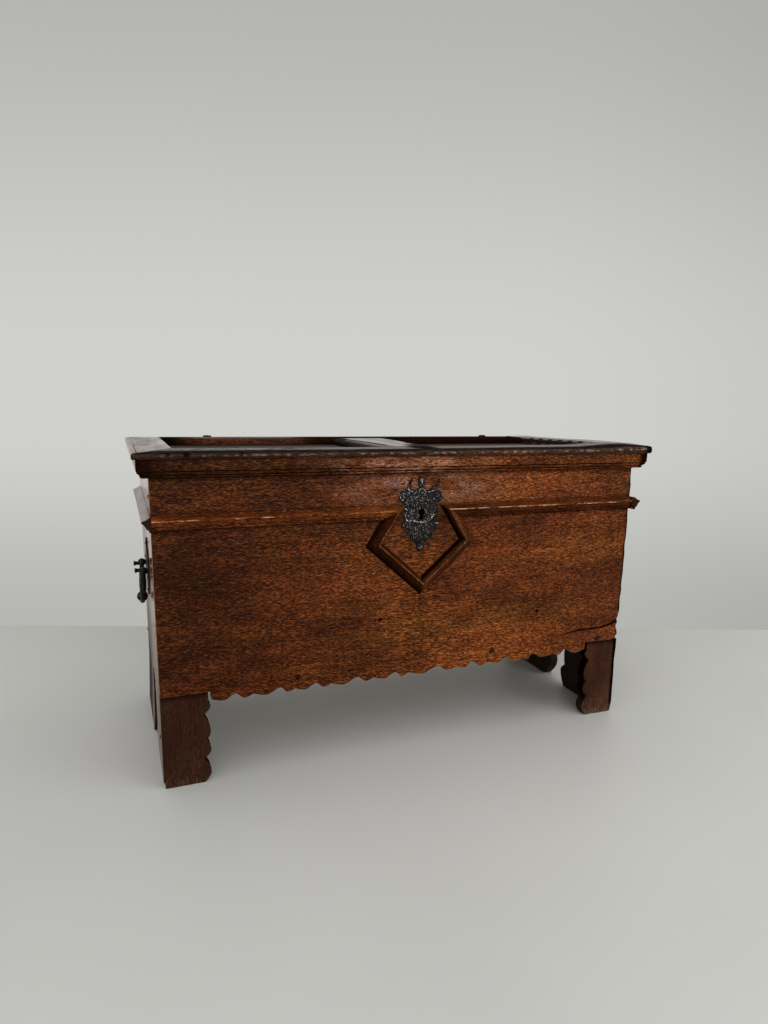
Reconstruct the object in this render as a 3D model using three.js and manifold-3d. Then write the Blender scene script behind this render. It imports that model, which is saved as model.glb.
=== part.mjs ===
// Coffer chest of oak with iron mounts: a planked body on cut-out sides, a framed lid on strap hinges,
// a moulded string course that turns into a kite round the lock, and a drop handle at each end.
// Millimetres. +X runs right along the front, +Y to the back, +Z up.
// The origin is the bottom centre of the whole chest.

import * as THREE from "three";
import { mergeVertices } from "three/addons/utils/BufferGeometryUtils.js";
import Module from "manifold-3d";

const wasm = await Module();
wasm.setup();

// Body
const footHalfWidth = 589.5; // the body's half length at the floor
const sideLean = 11; // the sides lean out this much up to the rim
const bodyHeight = 700;
const bodyDepth = 515;
const frontThickness = 26;
const sideThickness = 26;
const backThickness = 26;
const jointGap = 0.3; // between pieces that are cut to meet

// Front feet and apron
const footHeight = 208;
const footWidth = 100; // from the corner to the lobes, at the floor
const footRecess = 1; // behind the front board's face
const lobeDrop = 24.5; // the apron's lobes hang this far below the feet's top
const apexDrop = 12;
const notchDrop = 18;

// Arch in each side board
const archDrop = 25; // the crown, below the front feet's top
const archRise = 55; // the crown over the spring
const archFrontLine = 186; // from the chest's front face to the front foot's rear edge
const archRearLine = 290;
const rearFootFlare = 5; // the rear feet kick out at the floor

// Bottom
const bottomRise = 8; // the boards' underside over the front feet's top
const bottomThickness = 20;
const backDrop = 16; // the back board's lower edge below that underside
const bottomBoards = 3;
const battenSize = 30;
const battenInset = 12; // from the front board and from the back board

// Moulding of the string course and the kite
const stringDrop = 103; // from the rim to the string course's upper edge
const mouldingWidth = 32;
const mouldingProjection = 18.5;
const sideStringEnd = 9; // it stops this far before the back
const kiteHalfWidth = 97.6; // to the corner of its inner edge
const kiteSideDrop = 85.1; // from the string course's upper edge to that corner
const kiteBottomDrop = 171.6;
const kitePlay = 0.5; // beside the escutcheon's waist

// Lid
const lidThickness = 25;
const lidRearOverhang = 25;
const nosingReach = 31.5; // beyond the body's front and sides
const nosingThickness = 12.3;
const nosingRound = 4;
const frontRailWidth = 112; // inside the body's front face
const endRailWidth = 54.5; // inside the body's rim
const rearRailWidth = 90;
const muntinWidth = 156;
const panelRecess = 17;
const panelThickness = 8;
const tongueThickness = 5;
const tongueDepth = 8;
const pitWidth = 14; // the moulded slope round each sunk panel
const pitDrop = 9;

// Moulding under the lid
const skirtGap = 1; // clear of the body
const skirtReach = 24;
const skirtFoot = 13;
const skirtDrop = 26; // below the lid's underside
const fasciaHeight = 24;

// Hinges
const leftHingeInset = 184.5; // from the rim's end
const rightHingeInset = 142.5;
const knuckleRadius = 8;
const pinRadius = 3;
const pinClearance = 0.3;
const hingeRise = 4; // the knuckle's top over the lid's top
const hingeGap = 0.5; // between the knuckle and the lid's rear edge
const ironThickness = 3;
const strapWidth = 34;
const strapLength = 82;
const strapClearance = 0.3;
const leafHeight = 108;
const barrelWidth = 24;
const middleKnuckleWidth = 8;
const knuckleGap = 0.4;

// Escutcheon and keyhole
const escutcheonX = -4; // it sits a little left of the chest's middle
const escutcheonGap = 11; // under the lid's moulding
const escutcheonLower = 109; // from the waist, at the string course's upper edge, to the foot
const escutcheonHalfWidth = 56;
const escutcheonThickness = 3;
const keyholeX = -2.5;
const keyholeDrop = 21.5; // its middle below the waist
const keyholeLength = 22;
const keyholeRadius = 6;
const keyholeSlot = 8;

// Lock inside
const lockHalfWidth = 70;
const lockThickness = 26;
const lockFoot = 35.5; // below the keyhole's middle
const lockTopGap = 8; // under the lid
const lockCavityHalfWidth = 28;
const lockCavityHeight = 50;
const lockCavityDepth = 18;
const haspThickness = 10;
const haspDepth = 10;
const haspDrop = 45;
const haspStandOff = 8; // from the front board's inner face
const haspPlateHalfWidth = 25;
const haspPlateDepth = 30;
const haspSwing = 4.5; // the slot's room in front, for the arc of the opening lid
const slotClearance = 1.5;
const boltHeight = 8;
const boltThickness = 4;
const boltLength = 64;
const boltTipInset = 8; // the withdrawn tip, left of the lock's middle
const boltClearance = 0.4;
const boltRise = 4; // the bolt's lower edge over the hasp's foot
const boltSocket = 16; // the channel's closed end, right of the lock's middle

// Drop handles
const handleForward = 5; // in front of the side's middle
const handleDrop = 265; // from the rim to the bail's axis
const plateHalfWidth = 60;
const plateHalfHeight = 70;
const plateThickness = 2.5;
const eyeSpacing = 95;
const eyeWidth = 8;
const eyeRadius = 9;
const eyeShankHalf = 6;
const bailStandOff = 12.5; // the bail's axis from the side board
const journalRadius = 4;
const journalClearance = 0.8;
const journalHead = 6;
const journalHeadLength = 3.5;
const bailSideGap = 0.5;
const bailBarRadius = 5.5;
const bailDrop = 77; // from the axis to the grip
const bailLean = 2.5; // the grip stands this much further out
const gripHalfLength = 28;
const knopRadius = 12;
const hornLength = 19;
const hornRadius = 4.5;

// Outlines, as shares of the sizes that they follow

// Along the apron from its middle, of its half width: an apex flows, a notch is sharp.
const apronShares = [
  [-0.895, "apex"],
  [-0.816, "notch"],
  [-0.688, "apex"],
  [-0.623, "notch"],
  [-0.52, "apex"],
  [-0.447, "notch"],
  [-0.315, "apex"],
  [-0.2335, "notch"],
  [-0.12, "apex"],
  [-0.051, "notch"],
  [0.11, "apex"],
  [0.215, "notch"],
  [0.305, "apex"],
  [0.404, "notch"],
  [0.5015, "apex"],
  [0.605, "notch"],
  [0.666, "apex"],
  [0.798, "notch"],
  [0.871, "apex"],
];

// A front foot's inner edge from its top: the notches' height of the foot's height and inset of its
// width, and how far down the lobe below has its belly.
const footEdgeShares = [
  [0.902, 0.09, 0.37],
  [0.75, 0.145, 0.66],
  [0.474, 0.072, 0.52],
  [0.264, 0.135, 0.55],
  [0, 0.132],
];
const footTopShares = [0.923, 0.035]; // the plain edge above them

// The arch's edges from the floor up: the notches' height of the spring and depth of the span, how far
// up the lobe above has its belly, and the belly's depth.
const archFrontShares = [
  [0, -0.02, 0.7, 0.165],
  [0.52, 0, 0.6, 0.05],
  [1, -0.02],
];
const archRearShares = [
  [0, 1, 0.53, 0.683],
  [0.742, 0.904, 0.5, 0.86],
  [1, 1],
];

// Moulding section: across it from the upper or inner edge, and out from the board.
const mouldingShares = [
  [0, 0],
  [0, 0.08],
  [0.07, 0.14],
  [0.13, 0.4],
  [0.25, 0.82],
  [0.31, 1],
  [0.41, 0.95],
  [0.47, 0.78],
  [0.57, 0.65],
  [0.69, 0.52],
  [0.78, 0.46],
  [0.84, 0.27],
  [0.94, 0.22],
  [1, 0.11],
  [1, 0],
];

// Curve of the moulding under the lid, from its foot up: out from the foot's edge, and up to the fascia.
const skirtCurveShares = [
  [0, 0],
  [0.1, 0.22],
  [0.42, 0.45],
  [0.8, 0.7],
  [1, 1],
];

// Slope round a sunk panel, from its foot up: out of the opening, and up to the frame's top.
const pitShares = [
  [0, 0],
  [0.12, 0.45],
  [0.42, 0.78],
  [0.8, 0.86],
  [0.8, 1],
];

// Half of the escutcheon's outline: across its half width, and down from its top to its waist.
const escutcheonUpperShares = [
  [0.07, 0],
  [0.16, 0.061],
  [0.17, 0.196],
  [0.125, 0.318],
  [0.15, 0.408],
  [0.25, 0.485],
  [0.39, 0.44],
  [0.55, 0.334],
  [0.71, 0.196],
  [0.885, 0.09],
  [0.875, 0.151],
  [0.77, 0.273],
  [0.69, 0.408],
  [0.73, 0.485],
  [0.86, 0.515],
  [0.97, 0.621],
  [1, 0.772],
  [0.945, 0.849],
  [0.777, 0.926],
];

// From the waist to the foot.
const escutcheonLowerShares = [
  [0.723, 0],
  [0.76, 0.083],
  [0.795, 0.202],
  [0.73, 0.294],
  [0.715, 0.34],
  [0.8, 0.376],
  [0.83, 0.422],
  [0.75, 0.477],
  [0.652, 0.56],
  [0.536, 0.669],
  [0.34, 0.758],
  [0.188, 0.822],
  [0.152, 0.854],
  [0.188, 0.909],
  [0.134, 0.968],
  [0, 1],
];

// A quarter of the handle plate's outline, from its top: across its half width, up its half height.
const plateShares = [
  [0, 1],
  [0.12, 0.96],
  [0.17, 0.88],
  [0.11, 0.8],
  [0.32, 0.72],
  [0.52, 0.6],
  [0.6, 0.42],
  [0.86, 0.32],
  [1, 0.14],
];

// The grip's swell from its end to the knop: along its half length, out from the bar to the knop.
const gripShares = [
  [1, 0],
  [0.86, 0.3],
  [0.72, 0],
  [0.56, 0.05],
  [0.4, 0.72],
  [0.2, 0.95],
  [0, 1],
];

const lobeSteps = 6;
const roundSegments = 20;
const cutOverrun = 2;

// Places that follow from the sizes
const rimHalfWidth = footHalfWidth + sideLean;
const splay = sideLean / bodyHeight;
const overallDepth = nosingReach + bodyDepth + lidRearOverhang + hingeGap + 2 * knuckleRadius;
const frontFace = nosingReach - overallDepth / 2;
const boardBack = frontFace + frontThickness; // the front board's inner face
const bodyRear = frontFace + bodyDepth;
const lidRear = bodyRear + lidRearOverhang;
const lidTop = bodyHeight + lidThickness;
const lidHalfLength = rimHalfWidth + nosingReach;
const nosingBottom = lidTop - nosingThickness;
const skirtBottom = bodyHeight - skirtDrop;
const apronHalfWidth = footHalfWidth - footWidth * (1 - footTopShares[1]);
const archHeight = footHeight - archDrop;
const archSpring = archHeight - archRise;
const bottomHeight = footHeight + bottomRise;
const backBottom = bottomHeight - backDrop;
const stringTop = bodyHeight - stringDrop;
const keyholeHeight = stringTop - keyholeDrop;
const handleHeight = bodyHeight - handleDrop;
const hingePlaces = [
  ["left", leftHingeInset - rimHalfWidth],
  ["right", rimHalfWidth - rightHingeInset],
];
const hingeAxisY = lidRear + hingeGap + knuckleRadius;
const hingeAxisZ = lidTop + hingeRise - knuckleRadius;
const panelTop = lidTop - panelRecess;
const panelFront = frontFace + frontRailWidth;
const panelRear = lidRear - rearRailWidth;
const panelEnd = rimHalfWidth - endRailWidth;

const halfWidthAt = (z) => footHalfWidth + splay * z;

// Materials
const material = (name, color, roughness, metalness) =>
  new THREE.MeshStandardMaterial({ name, color, roughness, metalness });
const bodyOak = material("oak", 0x6a3a1f, 0.55, 0);
const darkOak = material("dark_oak", 0x452418, 0.55, 0);
const plainOak = material("plain_oak", 0x7a5636, 0.55, 0);
const iron = material("iron", 0x1c1b1b, 0.5, 0.8);

const chest = new THREE.Group();

function addPiece(name, geometry, finish) {
  const piece = new THREE.Mesh(geometry, finish);
  piece.name = name;
  chest.add(piece);
}

// Solids

// Six times the signed volume tells whether the faces look out.
function facingOut(geometry) {
  const flat = geometry.index ? geometry.toNonIndexed() : geometry;
  const position = flat.getAttribute("position");
  const corners = [new THREE.Vector3(), new THREE.Vector3(), new THREE.Vector3()];
  let volume = 0;
  for (let i = 0; i < position.count; i += 3) {
    corners.forEach((corner, k) => corner.fromBufferAttribute(position, i + k));
    volume += corners[0].dot(corners[1].clone().cross(corners[2]));
  }
  if (volume > 0) return flat;
  const turned = [];
  for (let i = 0; i < position.count; i += 3) {
    for (const k of [0, 2, 1]) {
      turned.push(position.getX(i + k), position.getY(i + k), position.getZ(i + k));
    }
  }
  const geometryOut = new THREE.BufferGeometry();
  geometryOut.setAttribute("position", new THREE.Float32BufferAttribute(turned, 3));
  return geometryOut;
}

function toSolid(geometry) {
  const bare = geometry.clone();
  for (const name of Object.keys(bare.attributes)) {
    if (name !== "position") bare.deleteAttribute(name);
  }
  const welded = mergeVertices(bare);
  const mesh = new wasm.Mesh({
    numProp: 3,
    vertProperties: new Float32Array(welded.getAttribute("position").array),
    triVerts: new Uint32Array(welded.index.array),
  });
  return new wasm.Manifold(mesh);
}

function toGeometry(solid) {
  const mesh = solid.getMesh();
  const geometry = new THREE.BufferGeometry();
  const corners = new Float32Array(mesh.vertProperties);
  geometry.setAttribute("position", new THREE.BufferAttribute(corners, 3));
  geometry.setIndex(new THREE.BufferAttribute(new Uint32Array(mesh.triVerts), 1));
  return geometry;
}

function joined(...geometries) {
  return toGeometry(geometries.map(toSolid).reduce((whole, next) => whole.add(next)));
}

function cut(geometry, ...tools) {
  const whole = toSolid(geometry);
  return toGeometry(tools.map(toSolid).reduce((rest, tool) => rest.subtract(tool), whole));
}

function block([x0, x1], [y0, y1], [z0, z1]) {
  const box = new THREE.BoxGeometry(x1 - x0, y1 - y0, z1 - z0);
  return box.translate((x0 + x1) / 2, (y0 + y1) / 2, (z0 + z1) / 2);
}

function outlineShape(points, holes = []) {
  const shape = new THREE.Shape(points.map(([a, b]) => new THREE.Vector2(a, b)));
  shape.holes = holes;
  return shape;
}

function extruded(shape, depth) {
  const settings = { depth, bevelEnabled: false, curveSegments: roundSegments };
  return new THREE.ExtrudeGeometry(shape, settings);
}

// A slab with its outline in X and Z, from one Y to a larger one.
function frontSlab(shape, y0, y1) {
  return extruded(shape, y1 - y0).rotateX(Math.PI / 2).translate(0, y1, 0);
}

// A slab with its outline in Y and Z, from one X to a larger one.
function sideSlab(shape, x0, x1) {
  const turn = new THREE.Matrix4().makeBasis(
    new THREE.Vector3(0, 1, 0),
    new THREE.Vector3(0, 0, 1),
    new THREE.Vector3(1, 0, 0),
  );
  return extruded(shape, x1 - x0).applyMatrix4(turn).translate(x0, 0, 0);
}

// A round bar or pin between two points on a line along X or Y.
function roundBar(radius, from, to) {
  const start = new THREE.Vector3(...from);
  const along = new THREE.Vector3(...to).sub(start);
  const bar = new THREE.CylinderGeometry(radius, radius, along.length(), roundSegments);
  const turn = new THREE.Quaternion();
  turn.setFromUnitVectors(new THREE.Vector3(0, 1, 0), along.clone().normalize());
  return bar.applyQuaternion(turn).translate(...start.addScaledVector(along, 1 / 2).toArray());
}

// A section carried straight from one corner to the next, each end on its mitre: a section point's first
// number goes along the end's mitre from the corner, and its second is set by place.
function run(section, ends, mitres, place) {
  const contour = section.map(([a, b]) => new THREE.Vector2(a, b));
  if (THREE.ShapeUtils.isClockWise(contour)) contour.reverse();
  const count = contour.length;
  const points = ends.flatMap((corner, end) =>
    contour.map(({ x, y }) => place(corner[0] + x * mitres[end][0], corner[1] + x * mitres[end][1], y)),
  );
  const faces = [];
  for (let i = 0; i < count; i++) {
    const j = (i + 1) % count;
    faces.push([i, j, count + j], [i, count + j, count + i]);
  }
  for (const [a, b, c] of THREE.ShapeUtils.triangulateShape(contour, [])) {
    faces.push([c, b, a], [count + a, count + b, count + c]);
  }
  const geometry = new THREE.BufferGeometry();
  geometry.setAttribute("position", new THREE.Float32BufferAttribute(points.flat(), 3));
  geometry.setIndex(faces.flat());
  return facingOut(geometry);
}

// What a unit of offset becomes along the mitre between two directions' left-hand sides.
function mitreBetween(before, after) {
  const left = ([a, b]) => [-b, a];
  const [p, q] = [left(before), left(after)];
  const scale = 1 / (1 + p[0] * q[0] + p[1] * q[1]);
  return [(p[0] + q[0]) * scale, (p[1] + q[1]) * scale];
}

// The right-hand piece leans with the side; the left-hand one is its mirror.
function leaning(geometry) {
  const position = geometry.getAttribute("position");
  for (let i = 0; i < position.count; i++) {
    position.setX(i, position.getX(i) + splay * position.getZ(i));
  }
  return geometry;
}

function mirrored(geometry) {
  return facingOut(geometry.clone().scale(-1, 1, 1));
}

function addPair(name, geometry, finish) {
  addPiece(`left_${name}`, mirrored(geometry), finish);
  addPiece(`right_${name}`, geometry, finish);
}

// One lobe between two stations [along, edge]: it swells to its belly, and flows in at an apex.
function lobe([along0, edge0, kind0], [along1, edge1, kind1], belly, bellyShare = 1 / 2) {
  const points = [];
  const half = lobeSteps / 2;
  for (let step = 0; step < lobeSteps; step++) {
    const rising = step < half;
    const past = (step - half) / half; // below zero before the belly
    const share = bellyShare + (rising ? bellyShare : 1 - bellyShare) * past;
    const power = (rising ? kind0 : kind1) === "apex" ? 2 : 1;
    const edge = rising ? edge0 : edge1;
    const swell = Math.sin((Math.PI * step) / lobeSteps) ** power;
    points.push([along0 + (along1 - along0) * share, edge + (belly - edge) * swell]);
  }
  return points;
}

// Body boards

function keyholeShape() {
  const head = keyholeHeight + keyholeLength / 2 - keyholeRadius;
  const foot = keyholeHeight - keyholeLength / 2;
  const spread = Math.asin(keyholeSlot / 2 / keyholeRadius);
  const hole = new THREE.Path();
  hole.moveTo(keyholeX - keyholeSlot / 2, foot);
  hole.lineTo(keyholeX + keyholeSlot / 2, foot);
  hole.absarc(keyholeX, head, keyholeRadius, spread - Math.PI / 2, (3 * Math.PI) / 2 - spread, false);
  hole.closePath();
  return hole;
}

function frontBoard() {
  const drops = { apex: apexDrop, notch: notchDrop };
  const shares = [[-1, "notch"], ...apronShares, [1, "notch"]];
  const stations = shares.map(([share, kind]) => [share * apronHalfWidth, footHeight - drops[kind], kind]);
  const belly = footHeight - lobeDrop;
  const edge = stations.slice(1).flatMap((station, i) => lobe(stations[i], station, belly));
  const outline = [
    [-halfWidthAt(bodyHeight), bodyHeight],
    [-halfWidthAt(footHeight), footHeight],
    [-apronHalfWidth, footHeight],
    ...edge,
    [apronHalfWidth, footHeight - notchDrop],
    [apronHalfWidth, footHeight],
    [halfWidthAt(footHeight), footHeight],
    [halfWidthAt(bodyHeight), bodyHeight],
  ];
  return frontSlab(outlineShape(outline, [keyholeShape()]), frontFace, boardBack);
}

function frontFoot() {
  const inset = (share) => footHalfWidth - footWidth * (1 - share);
  const belly = inset(0);
  const top = footHeight - jointGap;
  const stations = footEdgeShares.map(([height, depth]) => [height * footHeight, inset(depth)]);
  const edge = stations
    .slice(1)
    .flatMap((station, i) => lobe(stations[i], station, belly, footEdgeShares[i][2]));
  const plainEdge = inset(footTopShares[1]) + jointGap;
  const outline = [
    [halfWidthAt(top), top],
    [plainEdge, top],
    [plainEdge, footTopShares[0] * footHeight],
    ...edge.map(([height, x]) => [x, height]),
    [stations.at(-1)[1], 0],
    [footHalfWidth, 0],
  ];
  return frontSlab(outlineShape(outline), frontFace + footRecess, boardBack);
}

function sideBoard() {
  const depthOf = (share) => frontFace + archFrontLine + share * (archRearLine - archFrontLine);
  const edgeUp = (shares) => {
    const stations = shares.map(([height, depth]) => [height * archSpring, depthOf(depth)]);
    const lobes = stations
      .slice(1)
      .flatMap((station, i) => lobe(stations[i], station, depthOf(shares[i][3]), shares[i][2]));
    return [...lobes, stations.at(-1)].map(([z, y]) => [y, z]);
  };
  const frontEdge = edgeUp(archFrontShares);
  const rearEdge = edgeUp(archRearShares).reverse();
  const [from, to] = [frontEdge.at(-1)[0], rearEdge[0][0]];
  const crown = [];
  const crownSteps = 2 * lobeSteps;
  for (let step = 1; step < crownSteps; step++) {
    const turn = (Math.PI * step) / crownSteps;
    crown.push([
      (from + to) / 2 - ((to - from) / 2) * Math.cos(turn),
      archSpring + (archHeight - archSpring) * Math.sin(turn),
    ]);
  }
  const outline = [
    [boardBack, 0],
    ...frontEdge,
    ...crown,
    ...rearEdge,
    [bodyRear, 0],
    [bodyRear, archSpring],
    [bodyRear, bodyHeight],
    [boardBack, bodyHeight],
  ];
  const board = sideSlab(outlineShape(outline), footHalfWidth - sideThickness, footHalfWidth);
  const position = board.getAttribute("position");
  for (let i = 0; i < position.count; i++) {
    const rise = position.getZ(i) / archSpring;
    const atRear = position.getY(i) > (depthOf(0) + depthOf(1)) / 2;
    if (atRear && rise < 1) position.setX(i, position.getX(i) + rearFootFlare * (1 - rise));
  }
  return leaning(board);
}

function backBoard() {
  const reach = (z) => halfWidthAt(z) - sideThickness - jointGap;
  const outline = [
    [-reach(backBottom), backBottom],
    [reach(backBottom), backBottom],
    [reach(bodyHeight), bodyHeight],
    [-reach(bodyHeight), bodyHeight],
  ];
  return frontSlab(outlineShape(outline), bodyRear - backThickness, bodyRear);
}

function addBottom() {
  const from = boardBack + jointGap;
  const width = (bodyRear - backThickness - jointGap - from) / bottomBoards;
  const reach = halfWidthAt(bottomHeight) - sideThickness - jointGap;
  const height = [bottomHeight, bottomHeight + bottomThickness];
  ["front", "middle", "rear"].forEach((place, i) => {
    const across = [from + width * i, from + width * (i + 1)];
    addPiece(`${place}_bottom_board`, block([-reach, reach], across, height), plainOak);
  });
  const inner = footHalfWidth - sideThickness - jointGap;
  const batten = block(
    [inner - battenSize, inner],
    [boardBack + battenInset, bodyRear - backThickness - battenInset],
    [bottomHeight - battenSize, bottomHeight],
  );
  addPair("floor_batten", leaning(batten), plainOak);
}

// String course and kite

const mouldingSection = mouldingShares.map(([across, out]) => [
  -across * mouldingWidth,
  out * mouldingProjection,
]);

// The corners lie on the upper and inner edge, which leaves the escutcheon's waist free.
function addFrontMouldings() {
  const end = halfWidthAt(stringTop - mouldingWidth) - jointGap;
  const waist = escutcheonLowerShares[0][0] * escutcheonHalfWidth;
  const kiteTopHalf = waist + Math.abs(escutcheonX) + kitePlay;
  const corners = [
    [-end, stringTop],
    [-kiteTopHalf, stringTop],
    [-kiteHalfWidth, stringTop - kiteSideDrop],
    [0, stringTop - kiteBottomDrop],
    [kiteHalfWidth, stringTop - kiteSideDrop],
    [kiteTopHalf, stringTop],
    [end, stringTop],
  ];
  const names = [
    "left_front_string_course",
    "upper_left_kite_moulding",
    "lower_left_kite_moulding",
    "lower_right_kite_moulding",
    "upper_right_kite_moulding",
    "right_front_string_course",
  ];
  const directions = names.map((name, i) => {
    const step = [corners[i + 1][0] - corners[i][0], corners[i + 1][1] - corners[i][1]];
    const length = Math.hypot(...step);
    return step.map((value) => value / length);
  });
  const place = (x, z, out) => [x, frontFace - out, z];
  names.forEach((name, i) => {
    const before = directions[Math.max(i - 1, 0)];
    const after = directions[Math.min(i + 1, names.length - 1)];
    const mitres = [mitreBetween(before, directions[i]), mitreBetween(directions[i], after)];
    addPiece(name, run(mouldingSection, [corners[i], corners[i + 1]], mitres, place), bodyOak);
  });
}

function sideString() {
  const ends = [
    [frontFace - mouldingProjection, stringTop],
    [bodyRear - sideStringEnd, stringTop],
  ];
  const square = [0, 1];
  const place = (y, z, out) => [halfWidthAt(z) + jointGap + out, y, z];
  return run(mouldingSection, ends, [square, square], place);
}

// Lid

// A panel's groove in a rail's inner edge, from the top down.
function grooveAt(inner) {
  const top = panelTop + jointGap;
  const bottom = panelTop - tongueThickness - jointGap;
  return [
    [inner, top],
    [inner + tongueDepth, top],
    [inner + tongueDepth, bottom],
    [inner, bottom],
  ];
}

function nosedSection(inner) {
  return [
    [inner, bodyHeight],
    [skirtGap, bodyHeight],
    [skirtGap, nosingBottom],
    [nosingReach - nosingRound, nosingBottom],
    [nosingReach, nosingBottom + nosingRound],
    [nosingReach, lidTop - nosingRound],
    [nosingReach - nosingRound, lidTop],
    [inner, lidTop],
    ...grooveAt(inner),
  ];
}

// The moulded slope round one sunk panel: a stack of growing rectangles, cut from the frame.
function panelPit([x0, x1]) {
  const levels = pitShares.map(([out, up]) => [out * pitWidth, lidTop - pitDrop * (1 - up)]);
  levels.push([levels.at(-1)[0], lidTop + cutOverrun]);
  const points = levels.flatMap(([out, z]) => [
    [x0 - out, panelFront - out, z],
    [x1 + out, panelFront - out, z],
    [x1 + out, panelRear + out, z],
    [x0 - out, panelRear + out, z],
  ]);
  const faces = [
    [0, 2, 1],
    [0, 3, 2],
  ];
  for (let level = 0; level + 1 < levels.length; level++) {
    for (let side = 0; side < 4; side++) {
      const [a, b] = [4 * level + side, 4 * level + ((side + 1) % 4)];
      faces.push([a, b, b + 4], [a, b + 4, a + 4]);
    }
  }
  const last = 4 * (levels.length - 1);
  faces.push([last, last + 1, last + 2], [last, last + 2, last + 3]);
  const geometry = new THREE.BufferGeometry();
  geometry.setAttribute("position", new THREE.Float32BufferAttribute(points.flat(), 3));
  geometry.setIndex(faces.flat());
  return facingOut(geometry);
}

const panelSpans = [
  [-panelEnd, -muntinWidth / 2],
  [muntinWidth / 2, panelEnd],
];

function strapPocket(x) {
  return block(
    [x - strapWidth / 2 - strapClearance, x + strapWidth / 2 + strapClearance],
    [lidRear - strapLength - strapClearance, lidRear + cutOverrun],
    [bodyHeight - cutOverrun, bodyHeight + ironThickness + strapClearance],
  );
}

// The joint of a front corner runs from the nosing's corner to the panel's.
function cornerMitre() {
  const across = nosingReach + endRailWidth;
  const back = nosingReach + frontRailWidth;
  return { acrossPerBack: across / back, backPerAcross: back / across };
}

function frontRail() {
  const { acrossPerBack } = cornerMitre();
  const corner = lidHalfLength - nosingReach * acrossPerBack;
  const ends = [
    [-corner, frontFace],
    [corner, frontFace],
  ];
  const mitres = [
    [-acrossPerBack, -1],
    [acrossPerBack, -1],
  ];
  const rail = run(nosedSection(-frontRailWidth), ends, mitres, (x, y, z) => [x, y, z]);
  const edge = rimHalfWidth + skirtGap;
  const corners = [-1, 1].map((side) =>
    block(
      [Math.min(side * edge, side * lidHalfLength), Math.max(side * edge, side * lidHalfLength)],
      [frontFace - nosingReach, frontFace + frontRailWidth],
      [bodyHeight - cutOverrun, nosingBottom],
    ),
  );
  return cut(rail, ...corners, ...panelSpans.map(panelPit));
}

function endRail() {
  const { backPerAcross } = cornerMitre();
  const front = frontFace - nosingReach + nosingReach * backPerAcross;
  const ends = [
    [rimHalfWidth, front],
    [rimHalfWidth, lidRear],
  ];
  const mitres = [
    [1, -backPerAcross],
    [1, 0],
  ];
  const rail = run(nosedSection(-endRailWidth), ends, mitres, (x, y, z) => [x, y, z]);
  return cut(rail, panelPit(panelSpans[1]));
}

// Stub tenons fill the end rails' grooves.
function rearRail() {
  const section = [
    [-rearRailWidth, bodyHeight],
    [0, bodyHeight],
    [0, lidTop - nosingRound],
    [-nosingRound, lidTop],
    [-rearRailWidth, lidTop],
    ...grooveAt(-rearRailWidth),
  ];
  const ends = [
    [-panelEnd, lidRear],
    [panelEnd, lidRear],
  ];
  const square = [0, 1];
  const rail = run(section, ends, [square, square], (x, y, z) => [x, y, z]);
  const reach = panelEnd + tongueDepth - jointGap;
  const level = [panelTop - tongueThickness, panelTop];
  const tenon = block([-reach, reach], [panelRear + tongueDepth, lidRear], level);
  const pockets = hingePlaces.map(([, x]) => strapPocket(x));
  return cut(joined(rail, tenon), ...panelSpans.map(panelPit), ...pockets);
}

function muntin() {
  const half = muntinWidth / 2;
  const groove = grooveAt(-half);
  const section = [
    [-half, bodyHeight],
    [half, bodyHeight],
    ...groove.map(([x, z]) => [-x, z]).reverse(),
    [half, lidTop],
    [-half, lidTop],
    ...groove,
  ];
  const ends = [
    [0, panelFront],
    [0, panelRear],
  ];
  const square = [1, 0];
  const bar = run(section, ends, [square, square], (x, y, z) => [x, y, z]);
  const tongue = tongueDepth - jointGap;
  const tenon = block(
    [tongueDepth - half, half - tongueDepth],
    [panelFront - tongue, panelRear + tongue],
    [panelTop - tongueThickness, panelTop],
  );
  return cut(joined(bar, tenon), ...panelSpans.map(panelPit));
}

function lidPanel([x0, x1]) {
  const tongue = tongueDepth - jointGap;
  const board = block(
    [x0 + jointGap, x1 - jointGap],
    [panelFront + jointGap, panelRear - jointGap],
    [panelTop - panelThickness, panelTop],
  );
  const edge = block(
    [x0 - tongue, x1 + tongue],
    [panelFront - tongue, panelRear + tongue],
    [panelTop - tongueThickness, panelTop],
  );
  return joined(board, edge);
}

function addSkirt() {
  const curve = skirtCurveShares.map(([out, up]) => [
    skirtFoot + (skirtReach - skirtFoot) * out,
    skirtBottom + (nosingBottom - fasciaHeight - skirtBottom) * up,
  ]);
  const section = [[skirtGap, skirtBottom], ...curve, [skirtReach, nosingBottom], [skirtGap, nosingBottom]];
  const corner = [rimHalfWidth, frontFace];
  const level = (x, y, z) => [x, y, z];
  const front = run(section, [[-corner[0], corner[1]], corner], [[-1, -1], [1, -1]], level);
  const side = run(section, [corner, [corner[0], lidRear]], [[1, -1], [1, 0]], level);
  addPiece("front_lid_moulding", front, bodyOak);
  addPair("lid_moulding", side, bodyOak);
}

// Hinges: a strap let into the lid's underside, a leaf on the back board, and a pin

// A bar that stands up behind the lid and curls into an eye round the pin.
function knuckle(x0, x1, foot) {
  const bore = pinRadius + pinClearance;
  const front = hingeAxisY - knuckleRadius;
  const outline = new THREE.Shape();
  const angle = Math.acos(1 - ironThickness / knuckleRadius);
  outline.moveTo(front, foot);
  outline.lineTo(front + ironThickness, foot);
  outline.lineTo(front + ironThickness, hingeAxisZ - knuckleRadius * Math.sin(angle));
  outline.absarc(hingeAxisY, hingeAxisZ, knuckleRadius, Math.PI + angle, 3 * Math.PI, false);
  outline.closePath();
  outline.holes = [new THREE.Path().absarc(hingeAxisY, hingeAxisZ, bore, 0, 2 * Math.PI, true)];
  return sideSlab(outline, x0, x1);
}

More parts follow.
